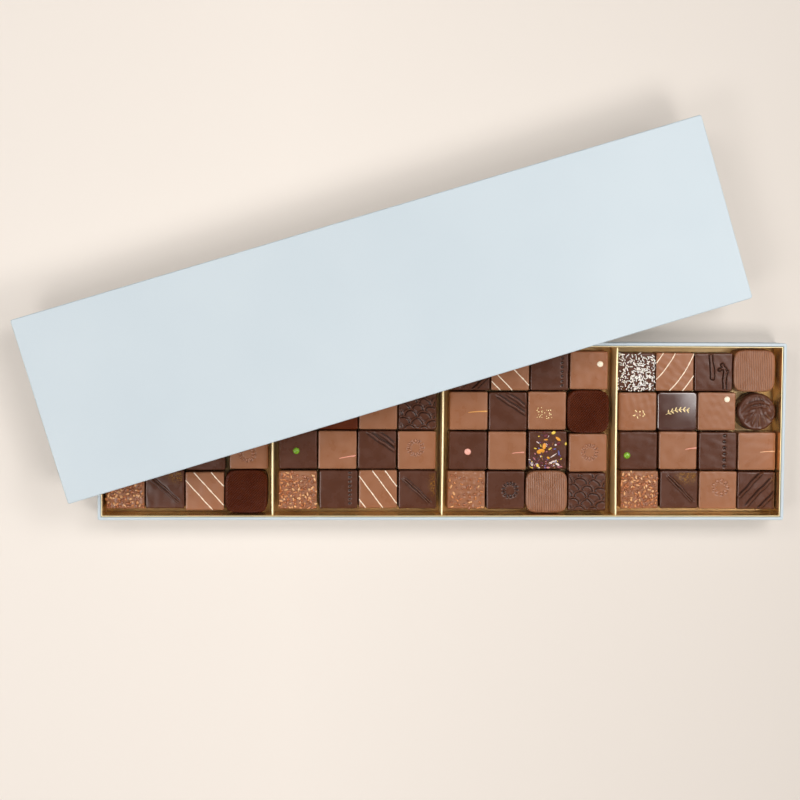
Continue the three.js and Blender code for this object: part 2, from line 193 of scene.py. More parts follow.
@dataclass(frozen=True)
class PaperFinish(Finish):
    """Matt covering paper with fine fibres and a faint cloud in its tone."""

    colour: Colour
    shade: Colour
    roughness: float = 0.6
    glow: float = 0.0
    painted_falloff_shade: float = 0.0
    cloud_scale: float = 14.0
    fibre_scale: float = 2600.0

    def make(self) -> bpy.types.Material:
        """Builds the paper's material.

        Returns:
            The material.
        """
        material, nodes, shader, place = self.start()
        cloud = nodes.noise(place, self.cloud_scale, 2.0).outputs["Fac"]
        fibre = nodes.noise(place, self.fibre_scale, 4.0).outputs["Fac"]
        tone = nodes.math("ADD", nodes.spread(cloud, 0.3, 0.7, 0.0, 0.7),
                          nodes.spread(fibre, 0.3, 0.7, 0.0, 0.3))
        colour = nodes.blend(tone, self.colour, self.shade)
        # painted shade: the table's colour darkens towards +X, standing for light that falls off towards
        # that side
        if self.painted_falloff_shade:
            painted_shade_colour = tuple((1 - self.painted_falloff_shade) * channel for channel in self.colour)
            colour = nodes.blend(nodes.spread(nodes.part(place, "X"), -0.1, 0.26), colour, painted_shade_colour)
        if self.glow:
            nodes.fill(shader, {"Emission Color": colour, "Emission Strength": self.glow})
        nodes.fill(shader, {"Base Color": colour, "Roughness": self.roughness,
                            "Normal": nodes.bump(fibre, 0.12, 0.0002)})
        return material


@dataclass(frozen=True)
class GoldCardFinish(Finish):
    """Card with a satin gold face: a mirror on the walls, duller on the floor, and pale along its top edge.
    """

    colour: Colour
    shade: Colour
    edge: Colour
    metallic: tuple[float, float] = (0.3, 0.88)
    roughness: tuple[float, float] = (0.4, 0.24)
    floor_top: float = 3.5
    edge_foot: float = 24.5
    wave_scale: float = 45.0
    grain_scale: float = 3000.0

    def make(self) -> bpy.types.Material:
        """Builds the gold card's material.

        Returns:
            The material.
        """
        material, nodes, shader, place = self.start()
        wave = nodes.noise(place, self.wave_scale, 2.0).outputs["Fac"]
        grain = nodes.noise(place, self.grain_scale, 3.0).outputs["Fac"]
        face = nodes.blend(nodes.spread(wave, 0.3, 0.7), self.colour, self.shade)
        up = nodes.part(place, "Z")
        near_edge = nodes.spread(up, self.edge_foot * MM, (self.edge_foot + 0.6) * MM)
        on_wall = nodes.spread(up, self.floor_top * MM, (self.floor_top + 2) * MM)
        on_face = nodes.math("SUBTRACT", on_wall, near_edge)
        height = nodes.math("ADD", nodes.math("MULTIPLY", wave, 4.0), nodes.math("MULTIPLY", grain, 0.15))
        nodes.fill(shader, {"Base Color": nodes.blend(near_edge, face, self.edge),
                            "Metallic": nodes.spread(on_face, 0.0, 1.0, *self.metallic),
                            "Roughness": nodes.spread(on_face, 0.0, 1.0, *self.roughness),
                            "Normal": nodes.bump(height, 0.35, 0.0004)})
        return material


@dataclass(frozen=True)
class ChocolateFinish(Finish):
    """Set chocolate: a satin skin with faint bloom, fine grain and pin holes, and painted shade in its
    hollows.
    """

    colour: Colour
    bloom: Colour
    roughness: float
    gloss: float
    hollow_shade_strength: float = 0.75
    grain: float = 0.1
    dust: Colour | None = None
    cloud_scale: float = 130.0
    grain_scale: float = 1500.0
    pit_scale: float = 420.0
    speck_scale: float = 2100.0
    patch_scale: float = 700.0
    hollow_shade_tone: float = 0.22

    def make(self) -> bpy.types.Material:
        """Builds the chocolate's material; where it has dust, the piece's own attribute says where.

        Returns:
            The material.
        """
        material, nodes, shader, place = self.start()
        cloud = nodes.noise(place, self.cloud_scale, 4.0).outputs["Fac"]
        fine = nodes.noise(place, self.grain_scale, 4.0).outputs["Fac"]
        pits = nodes.cells(place, self.pit_scale)
        colour = nodes.blend(nodes.spread(cloud, 0.35, 0.7), self.colour, self.bloom)
        if self.dust is not None:
            mask = nodes.add("ShaderNodeAttribute", attribute_name="dust").outputs["Fac"]
            near = nodes.spread(nodes.cells(place, self.speck_scale), 0.5, 0.25)
            patch = nodes.spread(nodes.noise(place, self.patch_scale, 3.0).outputs["Fac"], 0.38, 0.55)
            amount = nodes.math("MULTIPLY", nodes.math("MULTIPLY", near, patch), mask)
            colour = nodes.blend(amount, colour, self.dust)
        # painted shade: the coating is darkened in the grooves and dimples that the piece's hollow attribute
        # marks
        hollow = nodes.add("ShaderNodeAttribute", attribute_name="hollow").outputs["Fac"]
        deep = tuple(self.hollow_shade_tone * channel for channel in self.colour)
        colour = nodes.blend(nodes.math("MULTIPLY", hollow, self.hollow_shade_strength), colour, deep)
        roughness = nodes.spread(cloud, 0.3, 0.7, self.roughness - 0.05, self.roughness + 0.07)
        holes = nodes.spread(pits, 0.0, 0.12, -0.6, 0.0)
        height = nodes.math("ADD", nodes.math("MULTIPLY", fine, self.grain * 10), holes)
        nodes.fill(shader, {"Base Color": colour, "Roughness": roughness, "Specular IOR Level": self.gloss,
                            "Normal": nodes.bump(height, 0.3, 0.0001)})
        return material


SCATTER_RADII = (0.001, 0.0006, 0.0004)


@dataclass(frozen=True)
class ToppingFinish(Finish):
    """A topping in one or more colours, picked piece by piece from its tint."""

    colours: tuple[Colour, ...]
    roughness: float = 0.45
    metallic: float = 0.0
    grain_scale: float = 900.0
    bump: float = 0.25
    subsurface: float = 0.0

    def make(self) -> bpy.types.Material:
        """Builds the topping's material.

        Returns:
            The material.
        """
        material, nodes, shader, place = self.start()
        speck = nodes.noise(place, self.grain_scale, 3.0).outputs["Fac"]
        if len(self.colours) > 2:
            tint = nodes.add("ShaderNodeAttribute", attribute_name="tint").outputs["Fac"]
            ramp = nodes.add("ShaderNodeValToRGB", {"Fac": tint})
            ramp.color_ramp.interpolation = "CONSTANT"
            stops = ramp.color_ramp.elements
            while len(stops) < len(self.colours):
                stops.new(1.0)
            for i, colour in enumerate(self.colours):
                stops[i].position = i / len(self.colours)
                stops[i].color = (*colour, 1.0)
            light = ramp.outputs["Color"]
            dark = nodes.add("ShaderNodeHueSaturation", {"Value": 0.72, "Color": light}).outputs["Color"]
            colour = nodes.blend(nodes.spread(speck, 0.4, 0.75), light, dark)
        else:
            colour = nodes.blend(nodes.spread(speck, 0.35, 0.7), self.colours[0], self.colours[-1])
        nodes.fill(shader, {"Base Color": colour, "Roughness": self.roughness, "Metallic": self.metallic,
                            "Subsurface Weight": self.subsurface, "Subsurface Radius": SCATTER_RADII,
                            "Normal": nodes.bump(speck, self.bump, 0.0002)})
        return material


BLUE_PAPER = PaperFinish("blue_covering_paper", linear(201, 211, 216), linear(195, 206, 212))
GOLD_CARD = GoldCardFinish("gold_faced_card", linear(250, 214, 154), linear(240, 200, 136),
                           linear(255, 234, 182))
# painted light: the dividers' card is a slightly lighter copy of the lining's card, so that their faces show
# brighter, as if more lit
GOLD_DIVIDER_LIT_COPY = GoldCardFinish("gold_faced_divider", linear(252, 218, 158), linear(244, 206, 142),
                              linear(255, 234, 182), (0.3, 0.3), (0.4, 0.36))


class Dressed(Enum):
    """What has one of the record's material slots and a finish of its own."""

    @property
    def slot(self) -> str:
        """The record's material slot."""
        return self.value[0]

    @property
    def finish(self) -> Finish:
        """Its finish."""
        return self.value[1]


class Chocolate(Dressed):
    """The coatings, each with the record's slot and its finish."""

    MILK = ("milk_chocolate", ChocolateFinish(
        "milk_coating", linear(148, 97, 67), linear(154, 104, 75), 0.3, 0.25, 0.85))
    DARK = ("dark_chocolate", ChocolateFinish(
        "dark_coating", linear(83, 48, 33), linear(89, 54, 40), 0.27, 0.24, 0.92, dust=linear(186, 132, 36)))
    BITTER = ("bitter_chocolate", ChocolateFinish(
        "bitter_coating", linear(86, 34, 13), linear(96, 42, 18), 0.36, 0.1, 0.95))
    GLOSSY = ("dark_chocolate", ChocolateFinish(
        "moulded_gloss", linear(72, 38, 26), linear(76, 42, 30), 0.2, 1.0, grain=0.0))


class Topping(Dressed):
    """What lies on the pralines, each with the record's slot and its finish."""

    NUTS = ("milk_chocolate", ToppingFinish("caramel_nut_grains", (
        linear(212, 140, 88), linear(188, 114, 70), linear(158, 98, 66), linear(236, 178, 124),
        linear(172, 106, 70)), 0.24, bump=0.4))
    COCONUT = ("dark_chocolate", ToppingFinish("coconut_slivers", (
        linear(252, 247, 240), linear(242, 233, 224)), 0.5, bump=0.15, subsurface=0.1))
    PETALS = ("dark_chocolate", ToppingFinish("dried_petals", (
        linear(240, 158, 30), linear(244, 204, 70), linear(104, 22, 38), linear(92, 88, 150),
        linear(240, 218, 208), linear(196, 120, 124), linear(70, 26, 34), linear(150, 92, 40)), 0.55))
    LEAF = ("gold_card", ToppingFinish("gold_leaf_flecks", (
        linear(250, 226, 170), linear(236, 204, 136)), 0.3, 0.25))
    CREAM = ("milk_chocolate", ToppingFinish("cream_icing", (
        linear(253, 240, 216), linear(248, 232, 204)), 0.4))
    GREEN = ("dark_chocolate", ToppingFinish("green_icing", (
        linear(130, 172, 50), linear(104, 150, 36)), 0.14))
    PINK = ("dark_chocolate", ToppingFinish("pink_icing", (
        linear(244, 178, 160), linear(234, 164, 146)), 0.45))
    ROSE = ("milk_chocolate", ToppingFinish("rose_line", (
        linear(242, 172, 150), linear(228, 148, 126)), 0.3))
    PALE = ("milk_chocolate", ToppingFinish("caramel_line", (
        linear(232, 186, 150), linear(214, 160, 122)), 0.35))
    AMBER = ("milk_chocolate", ToppingFinish("amber_line", (
        linear(236, 176, 104), linear(220, 156, 86)), 0.3))
    DRIZZLE = ("milk_chocolate", ToppingFinish("cream_drizzle", (
        linear(255, 236, 212), linear(252, 224, 196)), 0.35))
    # painted highlight: the milk beads are the milk coating made lighter, standing for the light on them
    MILK_BEADS_PAINTED_LIGHT = ("milk_chocolate", ToppingFinish("milk_beads", (
        linear(170, 116, 88), linear(160, 106, 80)), 0.3))
    # painted shade: the dark beads are the dark coating made darker, standing for the shade on and round
    # them
    DARK_BEADS_PAINTED_SHADE = ("dark_chocolate", ToppingFinish("dark_beads", (
        linear(56, 30, 22), linear(48, 26, 20)), 0.22))


def add_to_scene(name: str, data: bpy.types.ID) -> bpy.types.Object:
    """Makes an object of a mesh, a lamp or a camera and links it to the scene."""
    item = bpy.data.objects.new(name, data)
    bpy.context.scene.collection.objects.link(item)
    return item


def mark(mesh: bpy.types.Mesh, name: str, values: Points) -> None:
    """Stores a number or a vector on every point of a mesh, under an attribute's name."""
    kind, key = ("FLOAT", "value") if values.ndim == 1 else ("FLOAT_VECTOR", "vector")
    mesh.attributes.new(name, kind, "POINT").data.foreach_set(key, values.astype(np.float32).ravel())


class Workshop:
    """Makes each material once, and turns meshes into finished pieces of the object."""

    def __init__(self) -> None:
        """Starts with no materials made."""
        self.materials: dict[str, bpy.types.Material] = {}

    def material(self, finish: Finish) -> bpy.types.Material:
        """The material of a finish, made at its first use.

        Args:
            finish: the finish.

        Returns:
            Its material.
        """
        if finish.name not in self.materials:
            self.materials[finish.name] = finish.make()
        return self.materials[finish.name]

    def piece(self, name: str, mesh: bpy.types.Mesh, slot: str,
              nodes: Sequence[str] = ()) -> bpy.types.Object:
        """Places a finished mesh in the scene as a piece that moves with the box.

        Args:
            name: the piece's name.
            mesh: its mesh, in metres, in the object's frame.
            slot: the record's slot for the piece's finish; not used.
            nodes: the solids that it stands for.

        Returns:
            The piece.
        """
        item = add_to_scene(name, mesh)
        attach(item, "root")
        if nodes:
            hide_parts(*nodes)
        LOG.info("%s: %d faces", name, len(mesh.polygons))
        return item


# Meshes


@dataclass
class Skin:
    """Points and faces of one or more closed skins, in millimetres."""

    points: Points
    faces: list[tuple[int, ...]]
    paint: list[int] = field(default_factory=list)
    marks: dict[str, Points] = field(default_factory=dict)

    def moved(self, x: float, y: float, z: float, turn: float = 0.0) -> "Skin":
        """A copy that is turned about the upright axis and then moved.

        Args:
            x: move along X.
            y: move along Y.
            z: move along Z.
            turn: turn in radians.

        Returns:
            The copy.
        """
        c, s = math.cos(turn), math.sin(turn)
        points = self.points @ np.array([[c, s, 0], [-s, c, 0], [0, 0, 1]]) + np.array([x, y, z])
        return Skin(points, self.faces, self.paint, self.marks)

    def mesh(self, name: str, materials: Sequence[bpy.types.Material],
             sharp: float = 50.0) -> bpy.types.Mesh:
        """The skin as a Blender mesh in metres.

        Args:
            name: the mesh's name.
            materials: its material slots.
            sharp: the angle in degrees from which an edge stays sharp.

        Returns:
            The mesh.
        """
        mesh = bpy.data.meshes.new(name)
        mesh.from_pydata((self.points * MM).tolist(), [], self.faces)
        for material in materials:
            mesh.materials.append(material)
        if self.paint:
            mesh.polygons.foreach_set("material_index", self.paint)
        for key, values in self.marks.items():
            mark(mesh, key, values)
        mesh.polygons.foreach_set("use_smooth", [True] * len(mesh.polygons))
        mesh.set_sharp_from_angle(angle=math.radians(sharp))
        mesh.update()
        return mesh


def joined(skins: Sequence[Skin]) -> Skin:
    """Several skins as one; each keeps its own paint number.

    Args:
        skins: the skins, each with a paint number to a face or none.

    Returns:
        The joined skin.
    """
    points, faces, paint, first = [], [], [], 0
    for skin in skins:
        points.append(skin.points)
        faces.extend(tuple(first + i for i in face) for face in skin.faces)
        paint.extend(skin.paint or [0] * len(skin.faces))
        first += len(skin.points)
    return Skin(np.concatenate(points), faces, paint)


class Outline(Enum):
    """How a plan outline is rounded."""

    CORNERS = "straight sides and round corners"
    BULGED = "one curve, a superellipse"


@dataclass(frozen=True)
class Plan:
    """A plan outline on a grid that is squeezed into it."""

    half_x: float
    half_y: float
    corner: float
    outline: Outline = Outline.CORNERS
    exponent: float = 2.0

    def place(self, u: Points, v: Points, inset: float) -> tuple[Points, Points]:
        """Where grid points lie in the outline, drawn in by an inset.

        Args:
            u: grid positions along X, from -1 to 1.
            v: grid positions along Y, from -1 to 1.
            inset: how far the outline is drawn in.

        Returns:
            The X and Y of the points.
        """
        half_x, half_y = self.half_x - inset, self.half_y - inset
        if self.outline is Outline.BULGED:
            reach = np.maximum(np.abs(u), np.abs(v))
            angle = np.arctan2(v, u)
            powers = np.abs(np.cos(angle)) ** self.exponent + np.abs(np.sin(angle)) ** self.exponent
            length = reach * powers ** (-1 / self.exponent)
            return half_x * length * np.cos(angle), half_y * length * np.sin(angle)
        corner = max(self.corner - inset, 0.25)
        x, y = u * half_x, v * half_y
        a, b = np.abs(x) - (half_x - corner), np.abs(y) - (half_y - corner)
        inside = (a > 0) & (b > 0)
        reach = np.maximum(a, b)
        angle = np.arctan2(b, a)
        x = np.where(inside, np.sign(x) * (half_x - corner + reach * np.cos(angle)), x)
        y = np.where(inside, np.sign(y) * (half_y - corner + reach * np.sin(angle)), y)
        return x, y


def sweep(plan: Plan, us: Points, vs: Points, rings: Sequence[tuple[float, float]]) -> Skin:
    """A closed skin from a flat cap over rings to a second cap.

    Args:
        plan: the outline.
        us: grid lines along X, from -1 to 1.
        vs: grid lines along Y, from -1 to 1.
        rings: inset and height from the first cap, which faces down, to the last, which faces up.

    Returns:
        The skin; the last cap's points come last.
    """
    u, v = np.meshgrid(us, vs)
    index = np.arange(u.size).reshape(u.shape)
    rim = np.concatenate([index[0, :-1], index[:-1, -1], index[-1, :0:-1], index[:0:-1, 0]])
    quads = np.stack([index[:-1, :-1], index[:-1, 1:], index[1:, 1:], index[1:, :-1]], -1).reshape(-1, 4)

    def ring(inset: float, z: float, places: Points) -> Points:
        """The points of some grid places at an inset and a height."""
        x, y = plan.place(u.ravel()[places], v.ravel()[places], inset)
        return np.stack([x, y, np.full(x.size, z)], 1)

    def band(low: Points, high: Points) -> Points:
        """The faces between two rings."""
        return np.stack([low, np.roll(low, -1), np.roll(high, -1), high], 1)

    rows, faces = [ring(*rings[0], index.ravel())], [quads[:, ::-1]]
    below, count = rim, u.size
    for inset, z in rings[1:-1]:
        rows.append(ring(inset, z, rim))
        above = count + np.arange(rim.size)
        faces.append(band(below, above))
        below, count = above, count + rim.size
    rows.append(ring(*rings[-1], index.ravel()))
    faces += [band(below, count + rim), quads + count]
    return Skin(np.concatenate(rows), [tuple(f) for f in np.concatenate(faces).tolist()])


def waves(seed: int, points: Points, length: float, count: int = 6) -> Points:
    """Smooth unevenness of about unit size, the same for the same seed.

    Args:
        seed: the seed.
        points: where it is read, one row to a point.
        length: the typical wavelength, in the points' unit.
        count: how many waves are added up.

    Returns:
        One value to a point.
    """
    random = np.random.default_rng(seed)
    total = np.zeros(len(points))
    for _ in range(count):
        direction = random.normal(size=points.shape[1])
        direction /= np.linalg.norm(direction)
        pace = 2 * math.pi / (length * random.uniform(0.6, 1.7))
        total += np.sin(points @ direction * pace + random.uniform(0, 2 * math.pi))
    return total / math.sqrt(count)


def distance_to_path(x: Points, y: Points, path: Sequence[tuple[float, float]]) -> tuple[Points, Points]:
    """How far points lie from a broken line, and how far along it.

    Args:
        x: the points' X.
        y: the points' Y.
        path: the line's corners.

    Returns:
        The distance, and the nearest place on the line from 0 to 1.
    """
    best, along = np.full(x.shape, 1e9), np.zeros(x.shape)
    steps = len(path) - 1
    for i in range(steps):
        (ax, ay), (bx, by) = path[i], path[i + 1]
        dx, dy = bx - ax, by - ay
        t = np.clip(((x - ax) * dx + (y - ay) * dy) / (dx * dx + dy * dy), 0, 1)
        distance = np.hypot(x - ax - t * dx, y - ay - t * dy)
        along = np.where(distance < best, (i + t) / steps, along)
        best = np.minimum(best, distance)
    return best, along


def rounded_rib(distance: Points, half_width: float, height: float) -> Points:
    """The height of a half-round rib at a distance from its middle line."""
    return height * np.sqrt(np.clip(1 - (distance / half_width) ** 2, 0, 1))


# Geometry Nodes trees


def start_tree(name: str, inputs: dict[str, str]) -> tuple[Nodes, dict]:
    """Starts a tree that takes a mesh and a material and gives a mesh.

    Args:
        name: the tree's name.
        inputs: the kinds of its other inputs by name.

    Returns:
        The tree's node maker, and what it is given by input name.
    """
    tree = bpy.data.node_groups.new(name, "GeometryNodeTree")
    for key, kind in {"Geometry": "Geometry", "Material": "Material", **inputs}.items():
        tree.interface.new_socket(key, in_out="INPUT", socket_type=f"NodeSocket{kind}")
    tree.interface.new_socket("Geometry", in_out="OUTPUT", socket_type="NodeSocketGeometry")
    nodes = Nodes(tree)
    return nodes, nodes.add("NodeGroupInput").outputs


def end_tree(nodes: Nodes, mesh: bpy.types.NodeSocket, material: bpy.types.NodeSocket) -> bpy.types.NodeTree:
    """Ends a tree: its instances become real and get their material.

    Args:
        nodes: the tree's node maker.
        mesh: the output that holds the mesh.
        material: the material that the tree is given.

    Returns:
        The tree.
    """
    real = nodes.add("GeometryNodeRealizeInstances", {"Geometry": mesh}).outputs["Geometry"]
    dressed = nodes.add("GeometryNodeSetMaterial", {"Geometry": real, "Material": material})
    nodes.add("NodeGroupOutput", {"Geometry": dressed.outputs["Geometry"]})
    return nodes.tree


class GrainShape(Enum):
    """The plain form that a strewn piece starts from."""

    CHUNK = "irregular lump"
    SLIVER = "long chip"
    BALL = "smooth drop"


@dataclass
class StrewnTree:
    """A tree that sets a small form on every point, as the point's own attributes say."""

    shape: GrainShape

    def build(self) -> bpy.types.NodeTree:
        """Builds the tree.

        Returns:
            The tree, with inputs for how rough the forms are and for how long their lumps are.
        """
        name = f"strewn_{self.shape.name.lower()}"
        nodes, given = start_tree(name, {"Unevenness": "Float", "Lump size": "Float"})
        turn, size = (nodes.add("GeometryNodeInputNamedAttribute", {"Name": key}, data_type="FLOAT_VECTOR")
                      for key in ("grain_turn", "grain_size"))
        placed = nodes.add("GeometryNodeInstanceOnPoints", {
            "Points": given["Geometry"], "Instance": self.form(nodes),
            "Rotation": turn.outputs["Attribute"], "Scale": size.outputs["Attribute"]})
        real = nodes.add("GeometryNodeRealizeInstances", {"Geometry": placed.outputs["Instances"]})
        place = nodes.add("GeometryNodeInputPosition").outputs["Position"]
        pace = nodes.math("DIVIDE", 1.0, given["Lump size"])
        noise = nodes.noise(place, pace, 1.0).outputs["Color"]
        centred = nodes.vector("SUBTRACT", {0: noise, 1: (0.5, 0.5, 0.5)})
        offset = nodes.vector("SCALE", {0: centred, "Scale": given["Unevenness"]})
        bent = nodes.add("GeometryNodeSetPosition", {"Geometry": real.outputs["Geometry"], "Offset": offset})
        smooth = nodes.add("GeometryNodeSetShadeSmooth", {"Geometry": bent.outputs["Geometry"]})
        return end_tree(nodes, smooth.outputs["Geometry"], given["Material"])

    def form(self, nodes: Nodes) -> bpy.types.NodeSocket:
        """Adds the form that is set on the points.

        Args:
            nodes: the tree's node maker.

        Returns:
            The form, of radius 1.
        """
        kind, sizes = {
            GrainShape.CHUNK: ("IcoSphere", {"Radius": 1.0, "Subdivisions": 2}),
            GrainShape.BALL: ("UVSphere", {"Radius": 1.0, "Segments": 16, "Rings": 10}),
            GrainShape.SLIVER: ("Cube", {"Size": (2.0, 2.0, 2.0), "Vertices X": 5, "Vertices Y": 2,
                                         "Vertices Z": 2}),
        }[self.shape]
        return nodes.add(f"GeometryNodeMesh{kind}", sizes).outputs["Mesh"]


class LineTree:
    """A tree that lays a round bead of icing along the edges of a mesh."""

    def build(self) -> bpy.types.NodeTree:
        """Builds the tree; the radius is the points' own attribute.

        Returns:
            The tree, with an input for the corners of the bead's section.
        """
        nodes, given = start_tree("icing_lines", {"Section corners": "Int"})
        curve = nodes.add("GeometryNodeMeshToCurve", {"Mesh": given["Geometry"]}).outputs["Curve"]
        radius = nodes.add("GeometryNodeInputNamedAttribute", {"Name": "line_radius"}, data_type="FLOAT")
        radius = radius.outputs["Attribute"]
        sized = nodes.add("GeometryNodeSetCurveRadius", {"Curve": curve, "Radius": radius}).outputs["Curve"]
        section = nodes.add("GeometryNodeCurvePrimitiveCircle", {
            "Resolution": given["Section corners"], "Radius": 1.0}).outputs["Curve"]
        bead = nodes.add("GeometryNodeCurveToMesh", {
            "Curve": sized, "Profile Curve": section, "Fill Caps": True})
        if "Scale" in bead.inputs:
            nodes.put(bead.inputs["Scale"], radius)
        smooth = nodes.add("GeometryNodeSetShadeSmooth", {"Geometry": bead.outputs["Mesh"]})
        return end_tree(nodes, smooth.outputs["Geometry"], given["Material"])


@dataclass
class CombTree:
    """A tree that draws a comb over a praline's top: parallel ribs that wander a little."""

    reach: float = 2.2

    def build(self) -> bpy.types.NodeTree:
        """Builds the tree.

        Returns:
            The tree, with inputs for the ribs' pitch, depth, direction and middle, and the top's height.
        """
        nodes, given = start_tree("combed_top", {
            "Pitch": "Float", "Depth": "Float", "Top": "Float", "Sharpness": "Float",
            "Across": "Vector", "Middle": "Vector"})
        place = nodes.add("GeometryNodeInputPosition").outputs["Position"]
        away = nodes.vector("SUBTRACT", {0: place, 1: given["Middle"]})
        run = nodes.vector("DOT_PRODUCT", {0: away, 1: given["Across"]}, "Value")
        wander = nodes.math("MULTIPLY", nodes.noise(place, 90.0, 1.0).outputs["Fac"], 0.5)
        phase = nodes.math("ADD", nodes.math("DIVIDE", run, given["Pitch"]), wander)
        tooth = nodes.math("PINGPONG", phase, 0.5)
        eased = nodes.math("POWER", nodes.math("MULTIPLY", tooth, 2.0), given["Sharpness"])
        uneven = nodes.spread(nodes.noise(place, 260.0, 2.0).outputs["Fac"], 0.3, 0.7, 0.65, 1.1)
        low = nodes.math("SUBTRACT", given["Top"], self.reach * MM)
        near_top = nodes.spread(nodes.part(place, "Z"), low, given["Top"])
        cut = nodes.math("MULTIPLY", nodes.math("MULTIPLY", eased, uneven), given["Depth"])
        drop = nodes.math("MULTIPLY", nodes.math("MULTIPLY", cut, near_top), -1.0)
        offset = nodes.add("ShaderNodeCombineXYZ", {"Z": drop}).outputs["Vector"]
        ribbed = nodes.add("GeometryNodeSetPosition", {"Geometry": given["Geometry"], "Offset": offset})
        # the grooves' depth is stored as the hollow attribute, by which the finish paints shade in them
        marked = nodes.add("GeometryNodeStoreNamedAttribute", {
            "Geometry": ribbed.outputs["Geometry"], "Name": "hollow",
            "Value": nodes.math("MULTIPLY", eased, near_top)}, data_type="FLOAT", domain="POINT")
        return end_tree(nodes, marked.outputs["Geometry"], given["Material"])


class TreePress:
    """Runs a mesh through a Geometry Nodes tree and returns the plain mesh."""

    def __init__(self) -> None:
        """Starts with no trees built."""
        self.trees: dict[str, bpy.types.NodeTree] = {}

    def tree(self, key: str, maker: "StrewnTree | LineTree | CombTree") -> bpy.types.NodeTree:
        """The tree of that key, built at its first use.

        Args:
            key: what it is kept under.
            maker: what builds it.

        Returns:
            The tree.
        """
        if key not in self.trees:
            self.trees[key] = maker.build()
        return self.trees[key]

    def press(self, name: str, mesh: bpy.types.Mesh, tree: bpy.types.NodeTree,
              values: dict) -> bpy.types.Mesh:
        """Applies a tree to a mesh.

        Args:
            name: the new mesh's name.
            mesh: the mesh that goes in.
            tree: the tree.
            values: its inputs by name.

        Returns:
            The mesh that comes out.
        """
        carrier = add_to_scene(f"{name}_carrier", mesh)
        modifier = carrier.modifiers.new("press", "NODES")
        modifier.node_group = tree
        sockets = tree.interface.items_tree
        named = {socket.name: socket.identifier for socket in sockets if socket.in_out == "INPUT"}
        for key, value in values.items():
            modifier[named[key]] = value
        bpy.context.view_layer.update()
        seen = carrier.evaluated_get(bpy.context.evaluated_depsgraph_get())
        result = bpy.data.meshes.new_from_object(seen)
        result.name = name
        carrier.modifiers.clear()
        bpy.data.objects.remove(carrier)
        return result


# The board box


def grid_lines(half: float, corner: float, step: float) -> Points:
    """Grid lines from -1 to 1 that are close together in the round corners.

    Args:
        half: half the side.
        corner: how far the corner reaches.
        step: the distance between lines elsewhere.

    Returns:
        The lines.
    """
    edge = half - np.linspace(0, corner, 5)
    middle = np.linspace(-edge[-1], edge[-1], max(int(2 * edge[-1] / step), 2) + 1)
    return np.concatenate([-edge[:-1], middle, edge[:-1][::-1]]) / half


RIM_ANGLES = (0, 30, 60, 90)


@dataclass
class OpenBox:
    """A box open at the top, made of board: a rounded rim and round upright corners."""

    length: float
    width: float
    height: float
    wall: float
    floor: float
    corner: float
    rim: float
    step: float = 4.0
    fillet: float = 0.3

    def skin(self) -> Skin:
        """The box on z = 0.

        Returns:
            Its skin.
        """
        plan = Plan(self.length / 2, self.width / 2, self.corner)
        us = grid_lines(plan.half_x, self.corner, self.step)
        vs = grid_lines(plan.half_y, self.corner, self.step)
        edge = min(self.rim, 0.45 * self.wall)
        rings = [(edge, 0.0), (0.3 * edge, 0.15 * edge), (0.0, edge)]
        levels = np.linspace(edge, self.height - edge, 5)[1:]
        rings += [(0.0, float(z)) for z in levels]
        turns = [math.radians(angle) for angle in RIM_ANGLES]
        rim = [(edge * (1 - math.cos(t)), self.height - edge + edge * math.sin(t)) for t in turns]
        rings += rim[1:]
        rings += [(self.wall - inset, z) for inset, z in reversed(rim)]
        levels = np.linspace(self.height - edge, self.floor + self.fillet, 5)[1:]
        rings += [(self.wall, float(z)) for z in levels]
        rings.append((self.wall + self.fillet, self.floor))
        return sweep(plan, us, vs, rings)

    def crease(self, points: Points, depth: float) -> None:
        """Presses the paper's mitre fold into the rim at each corner.

        Args:
            points: the box's points, changed in place.
            depth: how deep the fold is.
        """
        a, b = self.length / 2 - np.abs(points[:, 0]), self.width / 2 - np.abs(points[:, 1])
        fold = np.exp(-((a - b) / 0.35) ** 2) * np.clip(1 - np.maximum(a, b) / 4, 0, 1)
        near_rim = np.clip((points[:, 2] - (self.height - 1.2)) / 1.2, 0, 1)
        points[:, 2] -= depth * fold * near_rim

    def bow_walls(self, points: Points, amount: float, seed: int) -> None:
        """Draws the walls in a little, unevenly, as board dries.

        Args:
            points: the box's points, changed in place.
            amount: the most that a wall moves inwards.
            seed: the seed of the unevenness.
        """
        part = points[:, :2] / (self.length / 2, self.width / 2)
        uneven = np.clip(0.5 + 0.5 * waves(seed, points[:, :2], 160.0), 0, 1)
        reach = np.clip((np.abs(part) - 0.9) / 0.1, 0, 1)
        along = np.clip(1 - part[:, ::-1] ** 2, 0, 1)
        points[:, :2] -= np.sign(points[:, :2]) * amount * uneven[:, None] * reach * along


@dataclass(frozen=True)
class SolidPlace:
    """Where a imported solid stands, in millimetres: its foot's height, its size and its middle."""

    foot: float
    size: Vector
    middle: Vector

    @staticmethod
    def of(node: str) -> "SolidPlace":
        """Reads the place of a node's solid."""
        low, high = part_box(node)
        return SolidPlace(low.z / MM, (high - low) / MM, (high + low) / (2 * MM))


@dataclass
class PaperTray:
    """The long tray: board covered with blue paper that is turned over the rim."""

    node: str = "tray"
    height: float = 26.0
    wall: float = 2.0
    floor: float = 2.0
    corner: float = 1.4
    rim: float = 0.7
    crease: float = 0.16
    bow: float = 0.12

    def build(self, shop: Workshop) -> bpy.types.Object:
        """Builds the tray in its solid's place.

        Args:
            shop: the workshop.

        Returns:
            The piece.
        """
        size = SolidPlace.of(self.node).size
        box = OpenBox(size.x, size.y, self.height, self.wall, self.floor, self.corner, self.rim)
        skin = box.skin()
        box.crease(skin.points, self.crease)
        box.bow_walls(skin.points, self.bow, 11)
        mesh = skin.mesh(self.node, [shop.material(BLUE_PAPER)], 60.0)
        return shop.piece("paper_tray", mesh, "blue_paper", [self.node])


